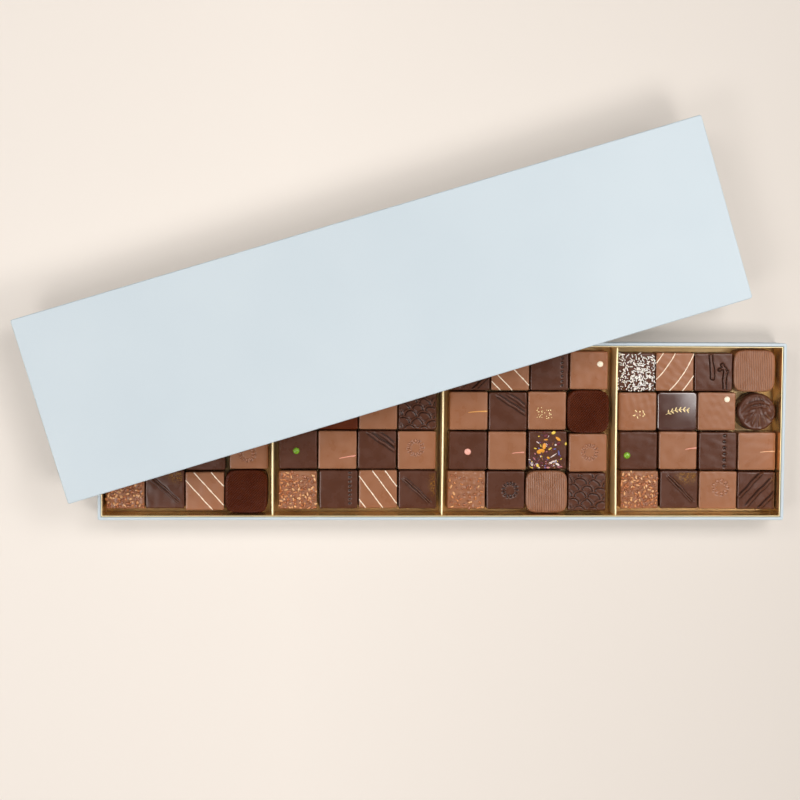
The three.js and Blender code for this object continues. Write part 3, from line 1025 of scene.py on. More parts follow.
@dataclass
class GoldLining:
    """The gold card that lines the tray: a floor and four turned-up walls."""

    node: str = "gold_lining"
    thickness: float = 0.5
    corner: float = 0.5
    rim: float = 0.2

    def build(self, shop: Workshop) -> bpy.types.Object:
        """Builds the lining in its solid's place.

        Args:
            shop: the workshop.

        Returns:
            The piece.
        """
        solid = SolidPlace.of(self.node)
        size = solid.size
        box = OpenBox(size.x, size.y, size.z, self.thickness, self.thickness, self.corner, self.rim)
        skin = box.skin()
        skin.points[:, 2] += solid.foot
        mesh = skin.mesh(self.node, [shop.material(GOLD_CARD)], 40.0)
        return shop.piece("gold_card_lining", mesh, "gold_card", [self.node])


@dataclass
class Divider:
    """A folded card wall between two compartments, with a round folded top."""

    node: str
    bow: float
    lean: float

    def build(self, shop: Workshop) -> bpy.types.Object:
        """Builds the divider in its solid's place.

        Args:
            shop: the workshop.

        Returns:
            The piece.
        """
        solid = SolidPlace.of(self.node)
        size = solid.size
        plan = Plan(size.x / 2, size.y / 2, 0.3)
        us = np.array([-1, -0.5, 0, 0.5, 1])
        vs = np.linspace(-1, 1, 41)
        rings = [(0.1, 0.0), (0.0, 0.2)]
        rings += [(0.0, float(z)) for z in np.linspace(0.2, size.z - 0.5, 7)[1:]]
        rings += [(0.08, size.z - 0.25), (0.25, size.z - 0.07), (0.42, size.z)]
        skin = sweep(plan, us, vs, rings)
        part, up = skin.points[:, 1] / plan.half_y, skin.points[:, 2] / size.z
        skin.points[:, 0] += self.bow * (1 - part ** 2) * up + self.lean * part * up
        skin = skin.moved(solid.middle.x, solid.middle.y, solid.foot)
        mesh = skin.mesh(self.node, [shop.material(GOLD_DIVIDER_LIT_COPY)], 60.0)
        return shop.piece(f"card_{self.node}", mesh, "gold_card", [self.node])


@dataclass
class Lid:
    """The loose lid, deep enough to cover the tray, which lies askew on the rim."""

    node: str = "lid"
    length: float = 441.2
    width: float = 117.6
    depth: float = 25.4
    wall: float = 1.7
    top: float = 2.0
    corner: float = 1.4
    rim: float = 0.75
    turn: float = 17.0
    crease: float = 0.14
    bow: float = 0.15
    sag: float = 0.35

    def build(self, shop: Workshop) -> bpy.types.Object:
        """Builds the lid in its solid's place.

        Args:
            shop: the workshop.

        Returns:
            The piece.
        """
        solid = SolidPlace.of(self.node)
        box = OpenBox(self.length, self.width, self.depth, self.wall, self.top, self.corner, self.rim)
        skin = box.skin()
        points = skin.points
        box.crease(points, self.crease)
        box.bow_walls(points, self.bow, 23)
        part_x, part_y = points[:, 0] / (self.length / 2), points[:, 1] / (self.width / 2)
        # the panel sinks very slightly between the walls that carry it
        sunk = np.clip(1 - part_x ** 4, 0, 1) * np.clip(1 - part_y ** 2, 0, 1)
        points[:, 2] += self.sag * sunk * (points[:, 2] < self.top + 0.01)
        points[:, 1] *= -1
        points[:, 2] = self.depth - points[:, 2]
        skin = skin.moved(solid.middle.x, solid.middle.y, solid.foot, math.radians(self.turn))
        mesh = skin.mesh(self.node, [shop.material(BLUE_PAPER)], 60.0)
        return shop.piece("loose_lid", mesh, "blue_paper", [self.node])


# The pralines


FOOT_END = (0.02, 2.6)
SIDE_STEPS = (0.35, 0.7, 1.0)
SHOULDER_ANGLES = (20, 38, 54, 68, 80)


@dataclass(frozen=True)
class Form:
    """A praline's body: its outline, its height and how its shoulder is rounded."""

    width: float
    height: float
    plan: Plan
    shoulder_in: float = 1.2
    shoulder_down: float = 0.95
    draft: float = 0.15
    foot: float = 0.12
    cells: int = 40

    def rings(self, height: float) -> list[tuple[float, float]]:
        """Inset and height of the rings from the foot to the top.

        Args:
            height: the body's height.

        Returns:
            The rings.
        """
        side_top = height - self.shoulder_down
        waist, low = FOOT_END
        rings = [(0.3, 0.0), (0.0, 0.12), (-self.foot, 0.45), (-self.foot, 1.4), FOOT_END]
        rings += [(waist + (self.draft - waist) * t, low + (side_top - low) * t) for t in SIDE_STEPS]
        for angle in SHOULDER_ANGLES:
            turn = math.radians(angle)
            inset = self.draft + (self.shoulder_in - self.draft) * (1 - math.cos(turn))
            rings.append((inset, side_top + self.shoulder_down * math.sin(turn)))
        rings.append((self.shoulder_in + 0.3, height))
        return rings

    def inset(self, x: Points, y: Points) -> Points:
        """How far inside the outline's box a place in plan lies."""
        return np.minimum(self.plan.half_x - np.abs(x), self.plan.half_y - np.abs(y))

    def drop(self, x: Points, y: Points) -> Points:
        """How far the rounded edge lies below the top at a place in plan.

        Args:
            x: X from the middle.
            y: Y from the middle.

        Returns:
            The drop.
        """
        inset = self.inset(x, y)
        part = np.clip((self.shoulder_in - inset) / (self.shoulder_in - self.draft), 0, 1)
        return self.shoulder_down * (1 - np.sqrt(1 - part ** 2))


def dome(x: Points, y: Points, half: float) -> Points:
    """The gentle swell of a moulded top."""
    return 0.42 * (0.8 - (x ** 2 + y ** 2) / half ** 2)


SQUARE = Form(24.8, 14.0, Plan(12.4, 12.4, 1.25))
MOULDED = Form(25.8, 14.6, Plan(12.9, 12.5, 2.4), 1.1, 0.8)
COMBED = Form(27.1, 15.6, Plan(13.55, 13.8, 3.0, Outline.BULGED, 4.8), 1.3, 1.1, cells=120)
ROUND = Form(25.2, 14.2, Plan(12.6, 12.3, 3.0, Outline.BULGED, 2.0), 1.9, 2.0, cells=100)
FINE_CELLS = 88


def ribs(angle: float, offsets: Sequence[float], half_width: float, height: float,
         depth: float = 0.4) -> Relief:
    """Straight raised ribs across the top.

    Args:
        angle: their direction in degrees from +X.
        offsets: each rib's distance from the middle.
        half_width: half a rib's width.
        height: a rib's height.
        depth: the depth of the groove beside it, as a part of that height.

    Returns:
        The relief.
    """
    c, s = math.cos(math.radians(angle)), math.sin(math.radians(angle))

    def relief(x: Points, y: Points) -> Points:
        """The height above the top at a place in plan."""
        across, run = y * c - x * s, x * c + y * s
        total = np.zeros(x.shape)
        for i, offset in enumerate(offsets):
            bend = 0.18 * np.sin(run / 3.1 + 2 * i) + 0.1 * np.sin(run / 1.3 + i)
            fade = np.clip((13.0 - np.abs(run)) / 2.5, 0, 1)
            distance = across - offset - bend
            rib = rounded_rib(distance, half_width, height)
            groove = -depth * height * np.exp(-((distance - 1.35 * half_width) / (0.45 * half_width)) ** 2)
            total += (rib + groove) * fade
        return total

    return relief


def double_line(angle: float, offset: float) -> Relief:
    """Two fine ribs side by side, as one drag of a dipping fork leaves."""
    return ribs(angle, (offset - 0.75, offset + 0.75), 0.55, 0.5, 0.25)


def quilting(x: Points, y: Points) -> Points:
    """Fine raised arches in offset rows, like the edges of scales, each with a groove under it.

    Args:
        x: X from the middle.
        y: Y from the middle.

    Returns:
        The height above the top.
    """
    radius = 4.5
    places = np.stack([x, y], -1).reshape(-1, 2)
    bent_x = x + 0.35 * waves(31, places, 9.0).reshape(x.shape)
    bent_y = y + 0.12 * x + 0.35 * waves(32, places, 9.0).reshape(x.shape)
    total = np.zeros(x.shape)
    for row in range(-4, 4):
        across = (bent_x + radius * (row % 2) + radius) % (2 * radius) - radius
        rise = bent_y - radius * row
        away = np.hypot(across, rise)
        above = np.clip(rise / 0.6 + 0.3, 0, 1)
        arch = rounded_rib(away - radius, 0.6, 0.5)
        groove = -0.38 * np.exp(-((away - radius + 0.9) / 0.34) ** 2)
        total += (arch + groove) * above
    return total


def drips(x: Points, y: Points) -> Points:
    """Two long drops that ran from the back towards the front, each in a groove.

    Args:
        x: X from the middle.
        y: Y from the middle.

    Returns:
        The height above the top.
    """
    paths = (
        (((-2.1, 11.2), (-1.7, 6.7), (-0.9, 1.7), (-0.7, -3.6)), 0.75, 0.45),
        (((5.4, 4.6), (6.6, 2.2), (7.5, -0.4), (7.0, -6.0), (7.4, -10.6)), 0.6, 0.35),
        (((3.6, 1.4), (5.0, 2.4), (6.6, 2.0)), 0.5, 0.0),
        (((7.2, 2.4), (8.5, 0.8), (8.7, -0.8)), 0.4, 0.0),
    )
    ribs_of, grooves = np.zeros(x.shape), np.zeros(x.shape)
    for path, start, growth in paths:
        distance, along = distance_to_path(x, y, path)
        half_width = start + growth * along + 0.12 * np.sin(along * 11 + 1)
        ribs_of = np.maximum(ribs_of, rounded_rib(distance, half_width, 0.85))
        grooves = np.maximum(grooves, np.exp(-((distance - half_width - 0.3) / 0.38) ** 2))
    return ribs_of - 0.62 * grooves * (ribs_of < 0.01)


def wrinkles(x: Points, y: Points) -> Points:
    """Folds in a soft top: one long wave at the back and short ones that fan out at the front.

    Args:
        x: X from the middle.
        y: Y from the middle.

    Returns:
        The height above the top.
    """
    folds = (
        (((-9.6, 0.6), (-6.4, 4.4), (-2, 6.2), (3, 6.6), (7.6, 5.0)), 0.8, 0.9),
        (((-7.0, 0.4), (-3.4, 2.8), (1.6, 3.6), (6.8, 2.6)), 0.65, 0.6),
        (((-8.6, -2.6), (-5.4, -0.6), (-2.0, 0.4)), 0.6, 0.45),
        (((-6.6, -6.4), (-4.0, -3.8), (-2.2, -0.4)), 0.55, 0.45),
        (((-3.0, -8.6), (-1.8, -5), (-0.8, -1.6)), 0.5, 0.4),
        (((1.4, -9.2), (1.6, -5.6), (1.2, -2)), 0.5, 0.4),
        (((5.4, -7.6), (4.4, -4.6), (2.8, -1.6)), 0.5, 0.4),
        (((8.2, -4.6), (6.4, -2.4), (4.6, -0.8)), 0.5, 0.4),
    )
    total = np.zeros(x.shape)
    for path, half_width, height in folds:
        distance, along = distance_to_path(x, y, path)
        taper = np.sin(math.pi * np.clip(along, 0.03, 0.97)) ** 0.5
        total = np.maximum(total, height * taper * np.exp(-(distance / half_width) ** 2))
    fan = np.stack([np.arctan2(x + 1.0, y - 14.0) * 16, np.hypot(x + 1.0, y - 14.0) * 0.25], -1)
    fan = fan.reshape(-1, 2)
    fine = waves(5, fan, 2.6).reshape(x.shape)
    rim = 0.4 * np.exp(-((np.hypot(x, y) - 11.1) / 0.55) ** 2)
    return total + 0.14 * fine * (np.hypot(x, y) < 10.8) + rim


def lumps(seed: int) -> Relief:
    """Low lumps of covered grains."""
    return lambda x, y: 0.22 * waves(seed, np.stack([x, y], 1), 3.4, 9)


SHALLOW, DEEP = 0.04, 0.24


def hollows(heights: Points, first: int, side: int) -> Points:
    """How far each point of a top lies in a hollow, from 0 to 1, which sets how much shade the finish paints
    there.

    Args:
        heights: the heights of all points, those of the square top grid last.
        first: the top grid's first point.
        side: the points on a side of the grid.

    Returns:
        The values, 0 off the top.
    """
    grid = heights[first:].reshape(side, side)
    soft, places = grid, np.arange(side)
    for axis in (0, 1):
        for step in (1, 2, 3):
            ahead = np.take(soft, np.minimum(places + step, side - 1), axis)
            behind = np.take(soft, np.maximum(places - step, 0), axis)
            soft = (soft + ahead + behind) / 3
    result = np.zeros(len(heights))
    result[first:] = np.clip((soft - grid - SHALLOW) / (DEEP - SHALLOW), 0, 1).ravel()
    return result


@dataclass
class Seat:
    """Where a praline stands: its middle, its foot and its turn."""

    x: float
    y: float
    foot: float
    turn: float

    def point(self, x: float, y: float, z: float) -> tuple[float, float, float]:
        """A place on the praline in the object's frame."""
        c, s = math.cos(self.turn), math.sin(self.turn)
        return self.x + c * x - s * y, self.y + s * x + c * y, self.foot + z


def read_seat(node: str) -> Seat:
    """Reads a praline's place from its solid's foot.

    Args:
        node: the solid's node.

    Returns:
        The seat; the turn is the one whose box round the foot is the smallest.
    """
    co = np.array([v.co[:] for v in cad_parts[node].data.vertices]) / MM
    foot = co[:, 2].min()
    ring = co[co[:, 2] < foot + 0.05][:, :2]
    best = (1e9, 0.0)
    for turn in np.radians(np.linspace(-1.3, 1.3, 105)):
        c, s = math.cos(turn), math.sin(turn)
        flat = ring @ np.array([[c, -s], [s, c]])
        best = min(best, (float(np.prod(np.ptp(flat, axis=0))), float(turn)))
    turn = best[1]
    c, s = math.cos(turn), math.sin(turn)
    flat = ring @ np.array([[c, -s], [s, c]])
    middle = (flat.min(0) + flat.max(0)) / 2
    x, y = middle @ np.array([[c, s], [-s, c]])
    return Seat(float(x), float(y), float(foot), turn)


HEIGHT_SPREAD = 0.35
DRAW_FACTOR, DRAW_STEP, DRAW_SPAN = 1664525, 1013904223, 2 ** 32


def body_height(label: str, form: Form) -> float:
    """The body's height as the solids have it, which vary a little from piece to piece.

    Args:
        label: the compartment's letter, the row and the column.
        form: the praline's form.

    Returns:
        The height.
    """
    seed = (ord(label[0]) * 5 + int(label[1]) - 1) * 5 + int(label[2]) - 1
    state = ((seed * 7919 + 13) * DRAW_FACTOR + DRAW_STEP) % DRAW_SPAN
    return form.height + HEIGHT_SPREAD * (2 * state / DRAW_SPAN - 1)


@dataclass
class Store:
    """Collects what lies on the tops, kind by kind, until each kind is made as one piece."""

    grains: dict = field(default_factory=dict)
    lines: dict = field(default_factory=dict)


@dataclass
class Top:
    """A praline's top while it is decorated; places are millimetres from its middle and its foot."""

    store: Store
    seat: Seat
    form: Form
    height: float
    random: np.random.Generator

    def level(self, x: Points, y: Points) -> Points:
        """The coating's height at a place in plan, which falls over the rounded edge."""
        return self.height - self.form.drop(x, y)

    def grain(self, topping: Topping, place: tuple, size: tuple, turn: tuple = (0.0, 0.0, 0.0),
              tint: float = 0.0) -> None:
        """Adds one small piece, of half sizes in millimetres and turns in radians; tint picks its colour."""
        self.store.grains.setdefault(topping, []).append((self.seat.point(*place), size, turn, tint))

    def line(self, topping: Topping, path: tuple[Points, Points, Points], radii: Sequence[float]) -> None:
        """Adds one line of icing with a radius at each point."""
        points = [self.seat.point(x, y, z) for x, y, z in zip(*path)]
        self.store.lines.setdefault(topping, []).append((points, radii))


class Decoration:
    """Something on a praline's top; the plain one adds nothing."""

    fine = False
    relief: Relief | None = None

    def lay(self, top: Top) -> None:
        """Adds the loose parts of the decoration."""


@dataclass
class Sculpted(Decoration):
    """A top with a relief of its own."""

    relief: Relief
    fine = True


@dataclass(kw_only=True)
class Dusted(Sculpted):
    """A fork drag across the top and a breath of gold dust in one place."""

    at: tuple[float, float]
    spread: tuple[float, float]


@dataclass
class Dot(Decoration):
    """One drop of icing."""

    topping: Topping
    x: float
    y: float
    radius: float
    rise: float

    def lay(self, top: Top) -> None:
        """Adds the drop."""
        wide = self.radius * top.random.uniform(0.97, 1.05)
        top.grain(self.topping, (self.x, self.y, top.height), (wide, self.radius, self.rise))


@dataclass
class Lines(Decoration):
    """Straight or bowed lines of icing across the whole top."""

    angle: float
    offsets: tuple[float, ...]
    bow: float
    radius: float = 0.37
    margin: float = 0.3
    topping: Topping = Topping.DRIZZLE

    def lay(self, top: Top) -> None:
        """Adds the lines, which run over the rounded edge.

        Args:
            top: the praline's top.
        """
        c, s = math.cos(math.radians(self.angle)), math.sin(math.radians(self.angle))
        for offset in self.offsets:
            run = np.linspace(-20, 20, 161)
            aside = offset + self.bow * (1 - (run / 11) ** 2) + 0.05 * np.sin(run / 1.7 + offset)
            x, y = c * run - s * aside, s * run + c * aside
            keep = top.form.inset(x, y) >= self.margin
            x, y = x[keep], y[keep]
            if len(x) < 4:
                continue
            radii = self.radius * (1 + 0.16 * waves(int(offset * 10) % 97, run[keep][:, None], 5.0))
            radii[[0, -1]] *= 0.6
            top.line(self.topping, (x, y, top.level(x, y) + 0.08), radii.tolist())


@dataclass
class Dash(Decoration):
    """One short stroke of icing that starts thin and runs to the edge."""

    topping: Topping
    start: tuple[float, float]
    end: tuple[float, float]
    radius: float = 0.5

    def lay(self, top: Top) -> None:
        """Adds the stroke.

        Args:
            top: the praline's top.
        """
        t = np.linspace(0, 1, 18)
        x = self.start[0] + (self.end[0] - self.start[0]) * t
        y = self.start[1] + (self.end[1] - self.start[1]) * t + 0.12 * np.sin(4 * t)
        radii = self.radius * (0.3 + 0.7 * t ** 0.6) * (1 + 0.12 * np.sin(9 * t))
        radii[-1] *= 0.6
        top.line(self.topping, (x, y, top.level(x, y) + 0.1), radii.tolist())


@dataclass
class BeadRing(Decoration):
    """A ring of small beads round a point of the top."""

    topping: Topping
    x: float
    y: float
    count: int
    breadth: float
    length: float = 1.2
    radius: float = 4.3

    fine = True

    def relief(self, x: Points, y: Points) -> Points:
        """The dimples that the beads sit in, which open towards the front right.

        Args:
            x: X from the middle.
            y: Y from the middle.

        Returns:
            The height above the top.
        """
        # the dimples lie off to the front right of the beads, so their painted shade reads as the beads'
        # shadows
        away = np.hypot(x - self.x - 0.25, y - self.y + 0.3)
        angle = np.arctan2(y - self.y + 0.3, x - self.x - 0.25) * self.count
        part = 0.5 + 0.5 * np.cos(angle)
        return -0.46 * np.exp(-((away - self.radius) / 1.3) ** 4) * part ** 0.7

    def lay(self, top: Top) -> None:
        """Adds the beads, each a little longer across the ring than along it.

        Args:
            top: the praline's top.
        """
        random = top.random
        for i in range(self.count):
            angle = 2 * math.pi * i / self.count + random.uniform(-0.05, 0.05)
            reach = self.radius + random.uniform(-0.15, 0.15)
            x, y = self.x + reach * math.cos(angle), self.y + reach * math.sin(angle)
            size = (self.length * random.uniform(0.9, 1.1), self.breadth * random.uniform(0.85, 1.1), 0.75)
            top.grain(self.topping, (x, y, top.height - 0.1), size, (0.0, 0.0, angle + top.seat.turn))


@dataclass
class BeadColumn(Decoration):
    """A row of small beads from the back edge to the front edge."""

    topping: Topping
    x: float
    start: float
    count: int
    spacing: float
    radius: float

    fine = True

    def relief(self, x: Points, y: Points) -> Points:
        """The dimples that the beads sit in.

        Args:
            x: X from the middle.
            y: Y from the middle.

        Returns:
            The height above the top.
        """
        total = np.zeros(x.shape)
        for i in range(self.count):
            # the dimples lie off to the front right of the beads, so their painted shade reads as the beads'
            # shadows
            away = np.hypot(x - self.x - 0.15, y - self.start + self.spacing * i + 0.2)
            total -= 0.36 * self.radius ** 0.5 * np.exp(-(away / (1.15 * self.radius)) ** 4)
        return total

    def lay(self, top: Top) -> None:
        """Adds the beads.

        Args:
            top: the praline's top.
        """
        for i in range(self.count):
            x = self.x + top.random.uniform(-0.1, 0.1)
            y = self.start - self.spacing * i + top.random.uniform(-0.1, 0.1)
            size = self.radius * top.random.uniform(0.92, 1.08)
            top.grain(self.topping, (x, y, top.height - 0.1), (size, 0.9 * size, 0.85 * size))


@dataclass
class Strewn(Decoration):
    """Grains or chips strewn over the top, laid by a seeded draw on an even grid."""

    topping: Topping
    count: int
    half_length: tuple[float, float]
    half_width: tuple[float, float]
    half_thickness: tuple[float, float]
    tilt: float
    spread: tuple[float, float]
    centre: tuple[float, float] = (0.0, 0.0)
    lift: float = 0.0
    under: int = 0
    bare: float = 0.0

    @property
    def relief(self) -> Relief | None:
        """The lumps of grains under the coating."""
        return lumps(self.under) if self.under else None

    def lay(self, top: Top) -> None:
        """Adds the grains.

        Args:
            top: the praline's top.
        """
        random = top.random
        columns = math.ceil(math.sqrt(self.count))
        rows = math.ceil(self.count / columns)
        for i in range(self.count):
            u = (i % columns + random.uniform(0.05, 0.95)) / columns
            v = (i // columns + random.uniform(0.05, 0.95)) / rows
            x = self.centre[0] + (2 * u - 1) * self.spread[0]
            y = self.centre[1] + (2 * v - 1) * self.spread[1]
            if self.bare and waves(7, np.array([[x, y]]), 7.0)[0] + random.normal(0, 0.5) > self.bare:
                x, y = 0.55 * x + 4.0, 0.55 * y - 4.5
            z = top.level(x, y) + self.lift * random.uniform(0.4, 1.0)
            ends = (self.half_length, self.half_width, self.half_thickness)
            size = tuple(random.uniform(*pair) for pair in ends)
            turn = lean(random, self.tilt)
            top.grain(self.topping, (x, y, z), size, turn, random.uniform(0, 0.999))


def lean(random: np.random.Generator, most: float) -> tuple[float, float, float]:
    """Draws how a strewn piece lies: a lean up to the most either way, and any turn."""
    return random.uniform(-most, most), random.uniform(-most, most), random.uniform(0, 2 * math.pi)


class Petal(Enum):
    """The petals' colours, in the order of their finish."""

    ORANGE, YELLOW, WINE, BLUE, WHITE, ROSE, DARK, BROWN = range(8)

    @property
    def tint(self) -> float:
        """What picks the colour in the finish."""
        return (self.value + 0.5) / len(Petal)


LARGE_PETALS = (
    (Petal.ORANGE, -4.5, -0.8, 2.7, 1.7, 15), (Petal.ORANGE, -2.2, 2.6, 1.3, 2.1, -10),
    (Petal.YELLOW, 3.6, 11.2, 1.5, 1.0, 20), (Petal.ORANGE, 6.6, 7.2, 2.1, 0.9, -40),
    (Petal.WINE, -1.2, 9.2, 1.5, 1.0, 30), (Petal.ORANGE, -1.3, 6.7, 1.3, 0.6, 5),
    (Petal.WHITE, -6.4, 4.8, 1.4, 0.3, -33), (Petal.YELLOW, -8.0, 1.0, 0.9, 0.45, -20),
    (Petal.WINE, 6.9, 4.2, 1.4, 1.2, 10), (Petal.WHITE, 5.1, 3.4, 0.8, 0.6, 20),
    (Petal.YELLOW, 1.5, 0.8, 1.3, 0.6, 35), (Petal.BLUE, 7.2, -1.8, 0.6, 1.8, 8),
    (Petal.BLUE, 4.6, 0.8, 1.0, 0.45, 20), (Petal.WHITE, 3.8, -3.5, 2.6, 0.34, 34),
    (Petal.ORANGE, 0.3, -4.9, 1.1, 0.7, -30), (Petal.WHITE, 2.9, -7.6, 2.5, 0.42, 24),
    (Petal.WHITE, 6.4, -9.2, 1.5, 0.8, -35), (Petal.YELLOW, -6.4, -10.0, 0.9, 1.2, 10),
    (Petal.ROSE, -8.5, -5.6, 1.3, 0.35, -50), (Petal.WHITE, -10.3, -8.3, 1.2, 0.34, 50),
    (Petal.ROSE, 0.2, -11.2, 1.1, 0.6, 5), (Petal.YELLOW, 11.6, 4.1, 0.6, 1.0, 0),
)
PETAL_CRUMBS = (
    Petal.DARK, Petal.WINE, Petal.BROWN, Petal.DARK, Petal.ROSE, Petal.DARK, Petal.WINE, Petal.WHITE,
    Petal.DARK, Petal.BLUE, Petal.WINE, Petal.DARK, Petal.YELLOW,
)


@dataclass
class Petals(Decoration):
    """Dried petals in a band from the back to the front left corner, with bare coating at the right."""

    count: int = 190

    def lay(self, top: Top) -> None:
        """Adds the large petals one by one from their list, then crumbs of them by a seeded draw.

        Args:
            top: the praline's top.
        """
        random = top.random
        for petal, x, y, length, width, turn in LARGE_PETALS:
            flat = (random.uniform(-0.25, 0.25), random.uniform(-0.25, 0.25), math.radians(turn))
            place = (x, y, top.level(x, y) + 0.4)
            top.grain(Topping.PETALS, place, (length, width, 0.2), flat, petal.tint)
        for i in range(self.count):
            along, aside = random.uniform(-1, 1), random.normal(0, 0.42)
            if i % 2:
                x, y = 10.5 * along - 1.0, -8.2 + 5.5 * aside
            else:
                x, y = 4.2 * along + 6.5 * aside - 1.8, 10.6 * along - 5.0 * aside - 1.6
            x, y = float(np.clip(x, -11.4, 10.8)), float(np.clip(y, -11.4, 11.4))
            size = (random.uniform(0.4, 1.2), random.uniform(0.2, 0.5), random.uniform(0.1, 0.2))
            turn = lean(random, 0.35)
            petal = PETAL_CRUMBS[i % len(PETAL_CRUMBS)]
            top.grain(Topping.PETALS, (x, y, top.level(x, y) + 0.2), size, turn, petal.tint)


@dataclass
class Sprig(Decoration):
    """A plain gold sprig, printed on the moulded piece."""

    stem: tuple[tuple[float, float], ...] = ((-7.6, -2.2), (-4.6, -0.2), (-0.6, 0.9), (3.6, 1.2), (7.6, 0.6))
    leaf: float = 1.15
    spread: float = 0.85

    def lay(self, top: Top) -> None:
        """Adds the stem as one fine line and the leaves in pairs along it.

        Args:
            top: the praline's top.
        """
        t = np.linspace(0, len(self.stem) - 1, 33)
        x, y = (np.interp(t, range(len(self.stem)), values) for values in np.array(self.stem).T)
        z = top.height + dome(x, y, top.form.plan.half_x)
        top.line(Topping.LEAF, (x, y, z + 0.02), [0.16] * len(x))
        for i in range(4, 31, 5):
            angle = math.atan2(y[i + 1] - y[i - 1], x[i + 1] - x[i - 1])
            for way in (angle - self.spread, angle + self.spread):
                place = (x[i] + self.leaf * math.cos(way), y[i] + self.leaf * math.sin(way), z[i] + 0.04)
                top.grain(Topping.LEAF, place, (self.leaf, 0.36, 0.09), (0.0, 0.0, way + top.seat.turn), 0.5)


@dataclass
class Praline:
    """One praline: its coating, its form and what is on its top."""

    kind: str
    chocolate: Chocolate
    form: Form = SQUARE
    decoration: Decoration = field(default_factory=Decoration)
    comb: float | None = None

    def skin(self, label: str, height: float) -> Skin:
        """The body on its foot at z = 0, uneven as dipped chocolate is.

        Args:
            label: the praline's place, which seeds the unevenness.
            height: the body's height.

        Returns:
            The skin.
        """
        seed = sum(ord(c) * 31 ** i for i, c in enumerate(label)) % 100003
        cells = max(self.form.cells, FINE_CELLS if self.decoration.fine else 0)
        lines = np.linspace(-1, 1, cells + 1)
        skin = sweep(self.form.plan, lines, lines, self.form.rings(height))
        points = skin.points
        x, y, z = points.T.copy()
        first_top = len(points) - (cells + 1) ** 2
        reach = np.maximum(np.abs(x) / self.form.plan.half_x, np.abs(y) / self.form.plan.half_y)
        crown = 0.1 * (1 - reach ** 2)
        top = np.arange(len(points)) >= first_top
        near = np.clip((z - height) / 1.2 + 1, 0, 1)
        if self.decoration.relief is not None:
            inner = np.clip(self.form.inset(x, y) / 1.2 - 0.2, 0, 1)
            points[:, 2] += self.decoration.relief(x, y) * inner * near
            # painted shade: the finish darkens the hollows of a sculpted top by this mark
            if not isinstance(self.decoration, Strewn):
                skin.marks["hollow"] = hollows(points[:, 2], first_top, cells + 1)
        if self.chocolate is Chocolate.GLOSSY:
            points[:, 2] += dome(x, y, self.form.plan.half_x) * near
        else:
            points[:, 2] += np.where(top, crown + 0.05 * waves(seed + 1, points[:, :2], 7.0), 0)
        side = np.clip(reach, 0, 1) ** 3 * np.clip(z / 1.5, 0, 1)
        points[:, 0] += side * (0.06 * waves(seed + 2, np.stack([x, y, z], 1), 9.0) - 0.05 * np.sign(x))
        points[:, 1] += side * (0.06 * waves(seed + 3, np.stack([x, y, z], 1), 9.0) - 0.05 * np.sign(y))
        if isinstance(self.decoration, Dusted):
            at, spread = self.decoration.at, self.decoration.spread
            away = ((x - at[0]) / spread[0]) ** 2 + ((y - at[1]) / spread[1]) ** 2
            skin.marks["dust"] = np.exp(-away ** 1.5) * top
        return skin


DOTS = {
    "cream_dot": (Chocolate.MILK, Topping.CREAM, 1.95, 0.95),
    "green_dot": (Chocolate.DARK, Topping.GREEN, 2.15, 1.25),
    "pink_dot": (Chocolate.DARK, Topping.PINK, 2.1, 0.85),
}
DASHES = {"pale_dash": Topping.PALE, "pink_dash": Topping.ROSE, "gold_dash": Topping.AMBER}


def dot(kind: str, x: float, y: float) -> Praline:
    """A praline with one drop of icing."""
    chocolate, topping, radius, rise = DOTS[kind]
    return Praline(kind, chocolate, decoration=Dot(topping, x, y, radius, rise))


def dash(kind: str, start: tuple, end: tuple) -> Praline:
    """A milk praline with one stroke of icing."""
    return Praline(kind, Chocolate.MILK, decoration=Dash(DASHES[kind], start, end))


def plain(chocolate: Chocolate) -> Praline:
    """A praline with a bare top."""
    return Praline("plain", chocolate)


def combed(chocolate: Chocolate, angle: float) -> Praline:
    """A large praline with a combed top."""
    return Praline("combed", chocolate, COMBED, comb=angle)


def drizzled(angle: float, offsets: tuple, bow: float = 0.0) -> Praline:
    """A milk praline with cream lines."""
    return Praline("drizzle", Chocolate.MILK, decoration=Lines(angle, offsets, bow))


def forked(angle: float, offsets: tuple) -> Praline:
    """A dark praline with fork ridges."""
    return Praline("fork_ridges", Chocolate.DARK, decoration=Sculpted(ribs(angle, offsets, 0.95, 0.85)))


def quilted() -> Praline:
    """A dark praline with a top like scales."""
    return Praline("quilted", Chocolate.DARK, decoration=Sculpted(quilting))


def dusted(angle: float, offset: float, at: tuple, spread: tuple) -> Praline:
    """A dark praline with one fork drag and gold dust."""
    drag = Dusted(double_line(angle, offset), at=at, spread=spread)
    return Praline("gold_dust", Chocolate.DARK, decoration=drag)


def beads(chocolate: Chocolate, x: float, y: float, count: int = 12, breadth: float = 0.62) -> Praline:
    """A praline with a ring of beads."""
    topping = Topping.MILK_BEADS_PAINTED_LIGHT if chocolate is Chocolate.MILK else Topping.DARK_BEADS_PAINTED_SHADE
    return Praline("bead_ring", chocolate, decoration=BeadRing(topping, x, y, count, breadth))


def bead_column(x: float, start: float, count: int, spacing: float, radius: float = 0.8) -> Praline:
    """A dark praline with a row of beads."""
    row = BeadColumn(Topping.DARK_BEADS_PAINTED_SHADE, x, start, count, spacing, radius)
    return Praline("bead_column", Chocolate.DARK, decoration=row)


def nuts(count: int, seed: int) -> Praline:
    """A milk praline strewn with caramel nut grains."""
    grains = Strewn(Topping.NUTS, count, (0.8, 1.6), (0.5, 0.85), (0.45, 0.8), 0.7, (11.8, 11.8),
                    lift=0.6, under=seed)
    return Praline("nuts", Chocolate.MILK, decoration=grains)


def gold_leaf(count: int, centre: tuple, spread: tuple, length: tuple) -> Praline:
    """A milk praline with flecks of gold leaf."""
    flecks = Strewn(Topping.LEAF, count, length, (0.24, 0.42), (0.1, 0.18), 0.3, spread, centre, 0.15)
    return Praline("gold_leaf", Chocolate.MILK, decoration=flecks)


